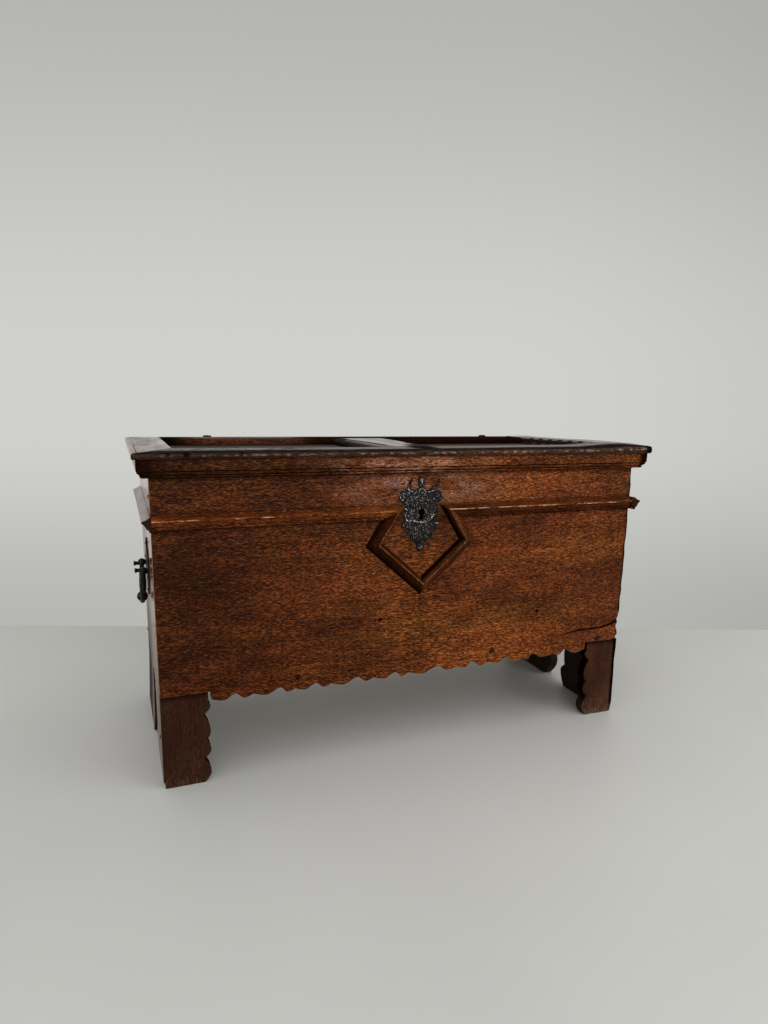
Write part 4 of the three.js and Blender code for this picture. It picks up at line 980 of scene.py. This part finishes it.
class COFFER_OT_front_board(bpy.types.Operator):
    """Cut the front board with its apron, split and chipped end"""

    bl_idname = "coffer.front_board"
    bl_label = "Front board"

    def execute(self, context):
        # Two columns stand close together at each end of the apron. Columns and rows lie closer at the right
        # end, low down and round the keyhole, whose hole goes most of the way through the board.
        sides = [side * APRON_HALF + gap for side in (-1, 1) for gap in (-3e-4, 3e-4)]
        runs = ((-RIM_HALF, 0.55, 400), (0.551, RIM_HALF, 34), (-0.016, 0.011, 30))
        along = np.sort(np.concatenate([sides, *(np.linspace(*run) for run in runs)]))
        rows = [np.linspace(0, 0.2, 60), np.linspace(0.2, 1, 44)[1:], np.linspace(0.72, 0.8, 28)]
        rows = np.sort(np.concatenate(rows))
        s, z, y, face = board(along, apron, rim, FRONT_THICK, context.scene.coffer_oak.ease, rows)
        x = s * half_width(z) / RIM_HALF
        # A split with a raised lip runs up to the right end.
        gap = z - np.interp(x, *np.transpose(SPLIT_PATH))
        near = hump(gap, 0.0022 + 0.002 * rise(x, 0.53, 0.59)) * rise(x, 0.38, 0.47)
        lip = hump(gap + 0.006, 0.004) * rise(x, 0.4, 0.5)
        sunk = SPLIT_DEEP * near - LIP_HIGH * lip
        sunk = sunk + 0.0005 * ripple(x, z, 0.09, 0.03, 5) + 0.00022 * ripple(x, z, 0.02, 0.006, 6)
        hole = np.hypot((x - KEYHOLE[0]) / KEYHOLE_HALF[0], (z - KEYHOLE[1]) / KEYHOLE_HALF[1])
        sunk = sunk + KEYHOLE_DEEP * rise(-hole, -1.15, -0.95)
        # The right end is chipped where the grain ran out.
        bite = sum(deep * hump(z - height, half) for height, deep, half in END_CHIPS)
        bite += 0.0022 * (1 + wander(z, 0.013, 44)) * rise(-z, -0.36, -0.3)
        bite += 0.0016 * (1 + wander(z, 0.026, 45))
        x = x - bite * rise(x, 0.57, 0.6)
        x = x + 0.0006 * (1 + wander(z, 0.02, 46)) * rise(-x, 0.58, 0.6)
        # Rubbed wear along the apron's lower edges; the left end's edges are pale with wear and a painted
        # sheen.
        rubbed = 0.8 * rise(np.abs(face - 0.35), 0.35, 0.1) * (z < 0.23) + 1.2 * (face < 0.3) * (x < -0.56)
        # Painted shade darkens the board along the string course, in the split, at its top under the lid's
        # moulding and in the keyhole; the right end is black.
        beside = np.abs(z - (STRING_TOP - 0.5 * MOULDING_WIDTH)) - 0.5 * MOULDING_WIDTH
        grime = 0.55 * hump(beside, 0.004) + 1.5 * near + 0.5 * rise(z, 0.66, 0.675)
        grime = grime + 1.3 * rise(-hole, -1.3, -1.0)
        grime = grime + 0.95 * rise(s + 0.003 * wander(z, 0.014, 47), 0.5925, 0.599)
        points = np.stack([x, FRONT + y + sunk * face, z], axis=-1)
        wooden("front_board", shell(points, rubbed, grime * face), "oak front")
        return {"FINISHED"}


def foot_inset(share):
    """Distance from the middle of the chest to a share of a front foot's width."""
    return FOOT_HALF - FOOT_WIDTH * (1 - share)


class COFFER_OT_front_feet(bpy.types.Operator):
    """Cut the two front feet with their lobed inner edges"""

    bl_idname = "coffer.front_feet"
    bl_label = "Front feet"

    def execute(self, context):
        ease = context.scene.coffer_oak.ease
        edge = [(share * FOOT_TOP, foot_inset(deep), 0) for share, deep, belly in reversed(FOOT_EDGE_SHARES)]
        # The belly of a lobe is kept with its upper end, and the last station needs none.
        bellies = [1 - belly for share, deep, belly in reversed(FOOT_EDGE_SHARES)]
        stations = [(*low, belly) for low, belly in zip(edge, [*bellies[1:], bellies[-1]])]
        last, plain = edge[-1][0], foot_inset(0.035) + CLEAR

        def inner(z):
            lobes = lobed(z, stations, foot_inset(0)) + 0.0005 * wander(z, 0.009, 12)
            return np.where(z < last, lobes, plain)

        along = np.sort(np.concatenate([np.linspace(0, FOOT_TOP - CLEAR, 150), [last - 2e-4, last + 2e-4]]))
        rows = np.linspace(0, 1, 30)
        z, width, depth, face = board(along, inner, half_width, FOOT_THICK, ease, rows)
        for side, name in SIDES:
            y = FRONT + 0.001 + depth + 0.0006 * face * ripple(width * side, z, 0.012, 0.05, 20 + side)
            worn = 0.003 * rise(-z, -0.03, -0.002) * rise(width, 0.56, 0.59)
            if side > 0:
                broken = 0.4 * hump(z - 0.13, 0.05) + 0.2 * (1 + wander(z, 0.03, 8))
                worn = worn + 0.0045 * rise(width, 0.565, 0.59) * broken
            x = width - worn
            # Painted shadow along the top, under the front board, and painted shade on the inner edges facing
            # away from the light.
            inner_face_shade = rise(-x, -0.53, -0.51) * (face < 0.4)
            grime = 0.7 * rise(z, 0.19, 0.208) * face + (0.6 + 0.5 * rise(z, 0.03, 0.07)) * inner_face_shade
            made = shell(np.stack([side * x, y, z], axis=-1), 0.5 * rise(-z, -0.05, 0) * face, grime)
            wooden(f"{name}_front_foot", made, "dark oak upright")
        return {"FINISHED"}


class COFFER_OT_carcase(bpy.types.Operator):
    """Ease the side, back and bottom boards"""

    bl_idname = "coffer.carcase"
    bl_label = "Carcase boards"

    def execute(self, context):
        width = context.scene.coffer_oak.ease

        # Painted shade on the boards' inner faces, which show through the cut-outs of the feet.
        def inner_face_shade(x, y, z):
            return (np.abs(x) < half_width(z) - 0.012) * 1.0

        for name in ("left_side_board", "right_side_board"):
            eased(name, "oak side", width, grime=inner_face_shade)
        for name in ("back_board", "front_bottom_board", "middle_bottom_board", "rear_bottom_board"):
            eased(name, "plain oak lengthwise", width)
        for name in ("left_floor_batten", "right_floor_batten"):
            eased(name, "plain oak across", width)
        return {"FINISHED"}


# Mouldings

class COFFER_OT_string_course(bpy.types.Operator):
    """Run the string course and the kite round the lock plate"""

    bl_idname = "coffer.string_course"
    bl_label = "String course and kite"

    def execute(self, context):
        wear = context.scene.coffer_oak.wear
        profile = [(-across * MOULDING_WIDTH, out * MOULDING_OUT) for across, out in MOULDING_SHARES]
        end = half_width(STRING_TOP - MOULDING_WIDTH) - CLEAR
        corners = np.array([(-end, 0), *KITE_CORNERS, (end, 0)]) + (0, STRING_TOP)
        ways = np.diff(corners, axis=0)
        ways /= np.hypot(*ways.T)[:, None]
        ways = np.vstack([ways[:1], ways, ways[-1:]])

        def on_front(x, z, out):
            return np.stack([x, FRONT - out, z], axis=-1)

        for i, (name, key, bright, soot_and_shade) in enumerate(STRING_RUNS):
            mitres = (mitre(ways[i], ways[i + 1]), mitre(ways[i + 1], ways[i + 2]))
            made = swept(profile, corners[i : i + 2], mitres, on_front, wear, 60 + i, soot_and_shade, bright=bright)
            wooden(name, made, key)
        rear = corners_of("right_side_string_course")[1][1]
        ends = ((FRONT - MOULDING_OUT, STRING_TOP), (rear, STRING_TOP))
        for side, name in SIDES:

            def on_side(y, z, out):
                return np.stack([side * (half_width(z) + CLEAR + out), y, z], axis=-1)

            made = swept(profile, ends, ((0, 1), (0, 1)), on_side, wear, 70 + side, lines=(0, 0))
            wooden(f"{name}_side_string_course", made, "oak string end")
        return {"FINISHED"}


class COFFER_OT_lid_moulding(bpy.types.Operator):
    """Run the moulding under the lid"""

    bl_idname = "coffer.lid_moulding"
    bl_label = "Moulding under the lid"

    def execute(self, context):
        profile = [(out, SKIRT_TOP - down) for out, down, quirk_shade in SKIRT_SHARES]
        grime = [quirk_shade for out, down, quirk_shade in SKIRT_SHARES]
        corner = (RIM_HALF, FRONT)
        along = ((-RIM_HALF, FRONT), corner), ((-1, -1), (1, -1))
        back = (corner, (RIM_HALF, corners_of("right_lid_moulding")[1][1])), ((1, -1), (1, 0))
        runs = (("front", 1, "oak skirt", *along), ("right", 1, "oak skirt end", *back),
                ("left", -1, "oak skirt end", *back))
        for order, (name, side, key, ends, mitres) in enumerate(runs):

            def mirrored(x, y, z):
                return np.stack([side * x, y, z], axis=-1)

            points, quads, caps = swept(profile, ends, mitres, mirrored, 0.0, 80 + order)[:3]
            marks = [np.zeros(len(points)), np.tile(grime, len(points) // len(grime))]
            wooden(f"{name}_lid_moulding", (points, quads, caps, marks), key, "lid")
        return {"FINISHED"}


# Lid

def moulded_drop(x, y):
    """Drop of the moulding round the sunk panels, narrower at the left end. The distance outside the nearer
    panel is the largest of the distances past its ends and |y - middle| - half width, and the drop follows
    the moulding's shares over it."""
    front, rear = rail_high[1], rear_low[1]
    past = np.maximum(MUNTIN_HALF - np.abs(x), np.abs(x) - PANEL_END + 0.0135 * (x < 0))
    away = np.maximum(past, np.abs(y - (front + rear) / 2) - (rear - front) / 2)
    out, up = np.array(MOULDED_EDGE_SHARES).T
    return MOULDED_EDGE_DROP * (1 - np.interp(away / MOULDED_EDGE_WIDTH, out, up))


def warp(x, y):
    """The lid's right end has curled up: most near the front, less at the very corner and at the back."""
    curl = 0.0072 * rise(x, 0.42, 0.6) * (1 - 0.4 * rise(-y, 0.2, 0.294))
    return curl * (1 - 0.75 * rise(y, -0.12, 0.2775)) + 0.002 * rise(x, -0.1, 0.55) * rise(-y, -0.1, 0.2)


def lid_rail(width, spread, seed, worn):
    """Rings of a nosed lid rail. Point k of the ring at share t lies at spread(a_k, t), where a_k is its
    distance in from the nosing's edge, and stands at the lid's top less the section's drop, the moulding's
    drop, a slow ripple and wear at the nosing. The front rail is fully worn, the end rails little."""
    nosing = np.array(NOSING_SHARES)
    top = [np.linspace(0.036, width - 0.0155, 18), width - MOULDED_EDGE_WIDTH * np.linspace(1, 0, 15)]
    top = np.concatenate(top)
    (upper, lower), sunk_in = GROOVE, width - GROOVE_DEEP
    inner = [(width, upper), (sunk_in, upper), (sunk_in, lower), (width, lower), (width, LID_THICK)]
    inner = np.array([*inner, (nosing[0, 0], LID_THICK)])
    a = np.concatenate([nosing[:, 0], top, inner[:, 0]])
    down = np.concatenate([nosing[:, 1], np.zeros(len(top)), inner[:, 1]])
    face = np.zeros(len(a))
    face[NOSING_UNDER : len(nosing) + len(top)] = 1
    t = np.linspace(0, 1, 420)[:, None]
    x, y = spread(a, t)
    run = x if x.min() < 0 < x.max() else y
    edge = rise(-a, -0.012, -0.003) * (down < 0.012)
    chip = np.maximum(ripple(run, 0 * run + down * 4, 0.016, 0.03, seed) - 0.35, 0)
    bite = worn * edge * (0.0006 * (1 + wander(run, 0.05, seed + 1)) + 0.0035 * chip)
    x, y = spread(a + bite, t)
    slow = 0.00045 * ripple(x, y, 0.16, 0.05, seed + 2) + 0.00012 * ripple(x, y, 0.014, 0.005, seed + 3)
    sunk = moulded_drop(x, y) * (down == 0)
    nicked = (x > 0.4) * (sunk > 0.0005) * (y < 0.175) * (y > -0.22)
    nicks = rise(np.cos(2 * np.pi * (y + 0.006) / NICK_PITCH), 0.1, 0.5) * nicked
    z = rail_high[2] - down - sunk - 0.003 * nicks - face * (np.abs(slow) + worn * edge * 0.0009 * chip)
    z = z + warp(x, y) * rise(-down, -0.0132, 0)
    strip = rise(a, 0.0008, 0.003) * rise(-a, -0.075, -0.052) * face
    specks = ripple(run, 0 * run + a, 0.012, 0.006, seed + 4)
    # Painted shade darkens the sunk moulding; the worn strip behind the nosing is dull and dark, and the
    # nicks black.
    grime = worn * 0.8 * rise(sunk, 0.0004, 0.001) + strip * worn * np.clip(0.95 + 0.3 * specks, 0, 1)
    grime = grime + 0.8 * worn * face * rise(specks, 0.35, 0.6) * rise(-x, 0.1, 0.45) + 1.2 * nicks
    # The end rails are black, as painted shade, in the quirk of the nosing and at the foot of the right one's
    # moulding.
    quirk = (np.abs(a - 0.0116) < 0.0006) * rise(-run, 0.005, 0.02)
    grime = grime + (worn < 1) * (quirk + 0.95 * rise(sunk, 0.003, 0.005) * (x > 0.4))
    # A broken pale line along the nose: rubbed wear and a painted highlight.
    line = hump(down - 0.005, 0.0024) * (a < 0.003)
    rubbed = worn * edge * line * np.clip(0.55 + 0.7 * wander(run, 0.009, seed + 5) + 0.6 * chip, 0, 1)
    return shell(np.stack([x, y, z], axis=-1), rubbed, grime)


class COFFER_OT_lid(bpy.types.Operator):
    """Shape the lid's nosed rails and ease its other parts"""

    bl_idname = "coffer.lid"
    bl_label = "Lid frame and panels"

    def execute(self, context):
        corner, front = rail_high[0], rail_low[1]
        back, across = rail_high[1] - front, corner - PANEL_END
        slant = across / back

        def lengthwise(a, t):
            return (2 * t - 1) * (corner - slant * a), front + a + 0 * t

        wooden("front_lid_rail", lid_rail(back, lengthwise, 90, 1.0), "oak lid rail", "lid")
        for side, name in SIDES:

            def crosswise(a, t):
                return side * (corner - a) + 0 * t, (1 - t) * (front + a / slant) + t * rear_high[1]

            made = lid_rail(across, crosswise, 100 + side, 0.15)
            wooden(f"{name}_lid_end_rail", made, "oak lid end", "lid")
        plain = (("rear_lid_rail", "oak rear rail"), ("lid_muntin", "oak lid muntin"),
                 ("left_lid_panel", "oak lid panel"), ("right_lid_panel", "oak lid panel"))
        for name, key in plain:
            eased(name, key, context.scene.coffer_oak.ease, "lid")
        return {"FINISHED"}


# Iron

def dome(share):
    """Half a round: the root of 1 - share squared, and nothing past 1."""
    return np.sqrt(np.clip(1 - share**2, 0, 1))


def mirror(points):
    """The same points on the plate's other side."""
    return [(-x, z) for x, z in points]


class COFFER_OT_lock_plate(bpy.types.Operator):
    """Chase the lock plate with its scrolls, leaf and keyhole"""

    bl_idname = "coffer.lock_plate"
    bl_label = "Lock plate"

    def execute(self, context):
        right, left = [*PLATE_RIGHT, *PLATE_LOWER], [*PLATE_LEFT, *mirror(PLATE_LOWER)]
        outline = flowing([*right, PLATE_FOOT, *reversed(left), PLATE_RIGHT[0]], 420)
        turn = np.linspace(-1.05, np.pi + 1.05, 28)
        top = PLATE_HOLE + PLATE_HOLE_RADIUS * np.stack([np.cos(turn), np.sin(turn)], axis=-1)
        hole = np.array([*top, *PLATE_SLOT, top[0]])
        places, deep, quads = pierced(outline, hole, PLATE_PITCH)
        u, v = places.T
        # Hammered ground, fuller in the middle and thin at the edge.
        ground = 1.1 + 1.5 * rise(deep, 0, 3.5) + 1.5 * dome(u / 48) * rise(deep, 0, 12)
        raised = 1.5 * hump(reach(places, hole)[1] - 2.2, 1.3)
        paired = [(mirror(points), width, tall) for points, width, tall in PLATE_PAIRED_RIDGES]
        for points, width, tall in [*PLATE_RIDGES, *PLATE_PAIRED_RIDGES, *paired]:
            gap = reach(places, flowing(points, 8 * len(points)))[1]
            raised = np.maximum(raised, tall * hump(gap, width))
        for x, z, width, tall in PLATE_BOSSES:
            raised = np.maximum(raised, tall * dome(np.hypot(u - x, v - z) / width))
        beaten = 0.32 * ripple(u, v, 3.1, 3.3, 7) + 0.2 * ripple(u, v, 1.5, 1.6, 8)
        high = (ground + (raised + beaten) * rise(deep, 0, 1.8)) / 1000
        x, z = LOCK_MIDDLE + u / 1000, v / 1000
        points = np.concatenate([np.stack([x, FRONT - out, z], axis=-1) for out in (high, 0 * high)])
        # The raised work is rubbed bright: wear, and painted glints.
        rubbed = 0.14 + 0.55 * rise(raised + beaten, 1.0, 2.4) * (0.75 + 0.4 * ripple(u, v, 4, 4, 9))
        rubbed = rubbed - 0.2 * rise(-v, -520, -500)
        marks = [np.concatenate([rubbed, 0 * rubbed]), np.zeros(len(points))]
        plate = (points, quads, [], marks)
        piece("chased_lock_plate", [plate], finish("wrought iron"), "chest_body", ["escutcheon"], 70)
        return {"FINISHED"}


class COFFER_OT_handles(bpy.types.Operator):
    """Forge the drop handles with their eyes, horns and knop"""

    bl_idname = "coffer.handles"
    bl_label = "Drop handles"

    def execute(self, context):
        level = (eye_low[2] + eye_high[2]) / 2
        middle = (bail_low[1] + bail_high[1]) / 2
        axis = half_width(level) + AXIS_OUT
        for side, name in SIDES:

            def at(out, y, down):
                return side * (axis + out), middle + y, level - down

            arm = [at(*step) for step in BAIL_WAY]
            way = flowing(arm + [(x, 2 * middle - y, z) for x, y, z in arm[-2::-1]], 180)
            y, down = np.abs(way[:, 1] - middle), level - way[:, 2]
            radius = 0.0046 + 0.0021 * np.sin(np.pi * np.clip(down / 0.07, 0, 1)) * (y > 0.03)
            radius = radius + (0.0012 * hump(y - 0.0165, 0.002) + 0.0035 * hump(y, 0.01)) * (down > 0.07)
            rings = tube(way, radius, (1, 0, 0))
            beaten = ripple(rings[..., 1] * 1.3, rings[..., 2] + rings[..., 0], 0.006, 0.005, 15)
            shells = [shell(rings + 0.00025 * beaten[..., None])]
            shells.append(shell(turned(at(0.0025, 0, KNOP_DOWN), (0, 0, -1), KNOP), 0.1))
            for end in (-1, 1):
                bearing = at(0, end * BAIL_HALF, 0)
                shells.append(shell(turned(bearing, (side, 0, 0), HORN)))
                shells.append(shell(turned(bearing, (0, 1, 0), BALL), 0.1))
                shells.append(shell(turned(at(0, end * HEAD_PLACE, 0), (0, end, 0), PIN_HEAD)))
            forged(f"{name}_bail", shells, f"{name}_bail")
            for end, place in ((-1, "front"), (1, "rear")):
                eye = turned(at(0, end * EYE_PLACE, 0), (0, 1, 0), EYE, 28)
                low = at(-0.0095, end * EYE_PLACE - 0.0035, -0.0055)
                high = at(-0.002, end * EYE_PLACE + 0.0035, 0.0055)
                forged(f"{name}_handle_{place}_eye", [shell(eye, 0.1), shell(bar(low, high, 0.001))])
            eased(f"{name}_handle_plate", "wrought iron", IRON_EASE)
        return {"FINISHED"}


class COFFER_OT_hinges(bpy.types.Operator):
    """Forge the strap hinges with their swollen knuckles"""

    bl_idname = "coffer.hinges"
    bl_label = "Hinges"

    def execute(self, context):
        for name in ("left", "right"):
            strap_low, strap_high = corners_of(f"{name}_hinge_lid_strap")
            leaf_low, leaf_high = corners_of(f"{name}_hinge_back_leaf")
            x, under, lid_end = (strap_low[0] + strap_high[0]) / 2, strap_low[2], rear_high[1]
            y, z = leaf_high[1:] - KNUCKLE_RADIUS
            near, over, shelf = y - 0.0052, under + LEAF_THICK, under - 0.0005
            # The lid's strap: a flat bar in its pocket, a neck behind the lid, and the middle knuckle.
            strap = [
                bar(strap_low, (strap_high[0], lid_end, over)),
                bar((x - NECK_HALF, lid_end - 0.01, under), (x + NECK_HALF, near, over)),
                bar((x - NECK_HALF, y - KNUCKLE_RADIUS, under + 0.0005), (x + NECK_HALF, near, z)),
                turned((x, y, z), (1, 0, 0), MIDDLE_KNUCKLE, 24),
            ]
            forged(f"{name}_hinge_lid_strap", [shell(rings) for rings in strap], "lid")
            # The back's leaf: a plate on the board, a shelf over it, and two outer knuckles on stems.
            leaf = [
                bar(leaf_low, (leaf_high[0], leaf_low[1] + LEAF_THICK, shelf)),
                bar((x - 0.012, leaf_low[1], shelf - LEAF_THICK), (x + 0.012, near, shelf)),
            ]
            for end in (-1, 1):
                leaf.append(turned((x, y, z), (end, 0, 0), OUTER_KNUCKLE, 24))
                stem = (x + end * 0.0046, y - KNUCKLE_RADIUS, shelf - 0.002), (x + end * 0.0112, near, z)
                leaf.append(bar(*stem))
            forged(f"{name}_hinge_back_leaf", [shell(rings) for rings in leaf])
            eased(f"{name}_hinge_pin", "wrought iron", IRON_EASE / 2)
        return {"FINISHED"}


class COFFER_OT_lock(bpy.types.Operator):
    """Ease the lock's case, bolt and hasp"""

    bl_idname = "coffer.lock"
    bl_label = "Lock"

    def execute(self, context):
        for name, body in (("lock_case", "chest_body"), ("lock_bolt", "lock_bolt"), ("lock_hasp", "lid")):
            eased(name, "wrought iron", 0.0004, body)
        return {"FINISHED"}


class COFFER_OT_nails(bpy.types.Operator):
    """Drive the hand-made nails"""

    bl_idname = "coffer.nails"
    bl_label = "Nails"

    def execute(self, context):
        def drive(place, way, size):
            return shell(turned(place, way, np.array(NAIL_HEAD) * size, 8))

        shells = []
        for x, z, size in FRONT_NAILS:
            sunk = 0.0008 if z < 0.15 else 0.0002
            shells.append(drive((x, FRONT + sunk, z), (0, -1, 0), size))
        for side in (-1, 1):
            for places, out, size in ((SIDE_NAILS, -0.0002, SIDE_NAIL), (PLATE_NAILS, 0.0028, PLATE_NAIL)):
                shells += [drive((side * (half_width(z) + out), y, z), (side, 0, 0), size) for y, z in places]
        piece("driven_nails", shells, finish("wrought iron"), "chest_body", (), 20)
        return {"FINISHED"}


# Stage

def pale(name, colour, seen):
    """A pale backdrop: a plain diffuse surface for the light it bounces, which the camera and reflections see
    glowing at its written colour.
    """
    make = Finish(name)
    base = make.add("ShaderNodeBsdfDiffuse", {"Color": solid(colour)}).outputs[0]
    rays = make.add("ShaderNodeLightPath").outputs
    glow = make.add("ShaderNodeEmission", {"Color": seen(make, make.place()), "Strength": 1.0}).outputs[0]
    bare = make.math("MAXIMUM", rays["Is Camera Ray"], rays["Is Glossy Ray"])
    bare = make.math("MAXIMUM", bare, rays["Is Transmission Ray"])
    lit = make.add("ShaderNodeMixShader", {0: bare, 1: base, 2: glow}).outputs[0]
    clear = make.add("ShaderNodeBsdfTransparent").outputs[0]
    behind = make.add("ShaderNodeNewGeometry").outputs["Backfacing"]
    surface = make.add("ShaderNodeMixShader", {0: behind, 1: lit, 2: clear}).outputs[0]
    make.add("ShaderNodeOutputMaterial", {"Surface": surface})
    return make.material


def wall_colour(make, place):
    """The wall's glow as the camera sees it, with painted light and shade: palest at the chest's height, and
    darker above and to the right.
    """
    x, y, z = make.split(place)
    low = make.mix(make.span(z, 0.0, 0.75), (0.47, 0.47, 0.45, 1.0), (0.63, 0.63, 0.61, 1.0))
    level = make.mix(make.span(z, 0.9, 2.3), low, (0.45, 0.45, 0.43, 1.0))
    return make.tinted(level, (0.88, 0.88, 0.885, 1.0), make.span(x, 0.6, 2.0))


def lamp(name, place, aim, width, height, power):
    """An area lamp that looks at a point."""
    data = bpy.data.lights.new(name, "AREA")
    data.shape = "RECTANGLE"
    data.size, data.size_y, data.energy = width, height, power
    made = bpy.data.objects.new(name, data)
    away = np.array(aim, float) - place
    z = -away / np.linalg.norm(away)
    x = np.cross((0, 0, 1) if abs(z[2]) < 0.99 else (0, 1, 0), z)
    x /= np.linalg.norm(x)
    turn = np.eye(4)
    turn[:3, :3] = np.stack([x, np.cross(z, x), z], axis=1)
    turn[:3, 3] = place
    made.matrix_world = Matrix(turn.tolist())
    bpy.context.scene.collection.objects.link(made)


def sheet(name, corners, finish_made):
    """A flat stage surface through four corners."""
    mesh = bpy.data.meshes.new(name)
    mesh.from_pydata(corners, [], [(0, 1, 2, 3)])
    mesh.materials.append(finish_made)
    made = bpy.data.objects.new(name, mesh)
    bpy.context.scene.collection.objects.link(made)


def room_light(sky):
    """A room that is brightest above and to the right, and dim on the left."""
    world = bpy.data.worlds.new("room")
    world.use_nodes = True
    tree = world.node_tree
    way = tree.nodes.new("ShaderNodeTexCoord").outputs["Generated"]
    up = tree.nodes.new("ShaderNodeVectorMath")
    up.operation = "DOT_PRODUCT"
    up.inputs[1].default_value = (0.5, -0.2, 0.84)
    tree.links.new(way, up.inputs[0])
    level = tree.nodes.new("ShaderNodeMapRange")
    for key, value in {1: -0.4, 2: 0.8, 3: 0.95 * sky, 4: sky}.items():
        level.inputs[key].default_value = value
    tree.links.new(up.outputs["Value"], level.inputs[0])
    tree.links.new(level.outputs[0], tree.nodes["Background"].inputs[1])
    tree.nodes["Background"].inputs[0].default_value = (0.95, 0.97, 1.0, 1.0)
    return world


class COFFER_OT_stage(bpy.types.Operator):
    """Set up the camera, the pale floor and wall, and the soft light"""

    bl_idname = "coffer.stage"
    bl_label = "Stage"

    def execute(self, context):
        scene, room = context.scene, context.scene.coffer_stage
        camera = bpy.data.objects.new("camera", bpy.data.cameras.new("camera"))
        camera.data.sensor_width = 36
        camera.data.lens = room.lens
        pitch, roll, yaw = room.turn
        turn = Matrix.Rotation(yaw, 3, "Z") @ Matrix.Rotation(pitch, 3, "X") @ Matrix.Rotation(roll, 3, "Y")
        # A camera looks along its own -Z, with +Y up; the turn is given for one that looks along +Y.
        turn = turn @ Matrix(((1, 0, 0), (0, 0, -1), (0, 1, 0)))
        camera.matrix_world = Matrix.Translation(room.place) @ turn.to_4x4()
        scene.collection.objects.link(camera)
        scene.camera = camera

        floor = Finish("floor")
        cloud = floor.span(floor.noise(floor.place(), (0.8, 0.8, 0.8), 3.0), 0.3, 0.7, 0.95, 1.04)
        shade = floor.tinted(solid(room.floor), floor.grey(cloud))
        corners = [(-FAR, -FAR, 0), (FAR, -FAR, 0), (FAR, FAR, 0), (-FAR, FAR, 0)]
        sheet("floor", corners, floor.finished(shade, 0.45, cloud, 0.02))
        left, right = ((x, WALL_POINT[1] - WALL_TURN * (x - WALL_POINT[0])) for x in (-FAR, FAR))
        corners = [(*left, 0), (*right, 0), (*right, WALL_HIGH), (*left, WALL_HIGH)]
        sheet("wall", corners, pale("wall", room.wall, wall_colour))

        scene.world = room_light(room.sky)
        for name, (place, aim, width, height) in LAMPS.items():
            lamp(f"{name} lamp", place, aim, width, height, getattr(room, name))
        scene.view_settings.view_transform = "Standard"
        return {"FINISHED"}


class COFFER_PT_panel(bpy.types.Panel):
    """Lists the steps that build the coffer"""

    bl_idname = "COFFER_PT_panel"
    bl_label = "Oak coffer"
    bl_space_type = "VIEW_3D"
    bl_region_type = "UI"
    bl_category = "Coffer"

    def draw(self, context):
        for name, group in settings.items():
            for field in group.__annotations__:
                self.layout.prop(getattr(context.scene, name), field)
        for step in steps:
            self.layout.operator(step.bl_idname)


steps = (
    COFFER_OT_finishes, COFFER_OT_stage, COFFER_OT_front_board, COFFER_OT_front_feet, COFFER_OT_carcase,
    COFFER_OT_string_course, COFFER_OT_lid_moulding, COFFER_OT_lid, COFFER_OT_lock_plate, COFFER_OT_handles,
    COFFER_OT_hinges, COFFER_OT_lock, COFFER_OT_nails,
)
settings = {"coffer_oak": CofferOak, "coffer_iron": CofferIron, "coffer_stage": CofferStage}


def register():
    for item in (*settings.values(), *steps, COFFER_PT_panel):
        bpy.utils.register_class(item)
    for name, group in settings.items():
        setattr(bpy.types.Scene, name, PointerProperty(type=group))


def unregister():
    for name in settings:
        delattr(bpy.types.Scene, name)
    for item in (COFFER_PT_panel, *reversed(steps), *settings.values()):
        bpy.utils.unregister_class(item)


def main():
    """Build every piece in order."""
    register()
    for step in steps:
        group, name = step.bl_idname.split(".")
        getattr(getattr(bpy.ops, group), name)()
    bpy.context.view_layer.update()


if __name__ == "__main__":
    main()
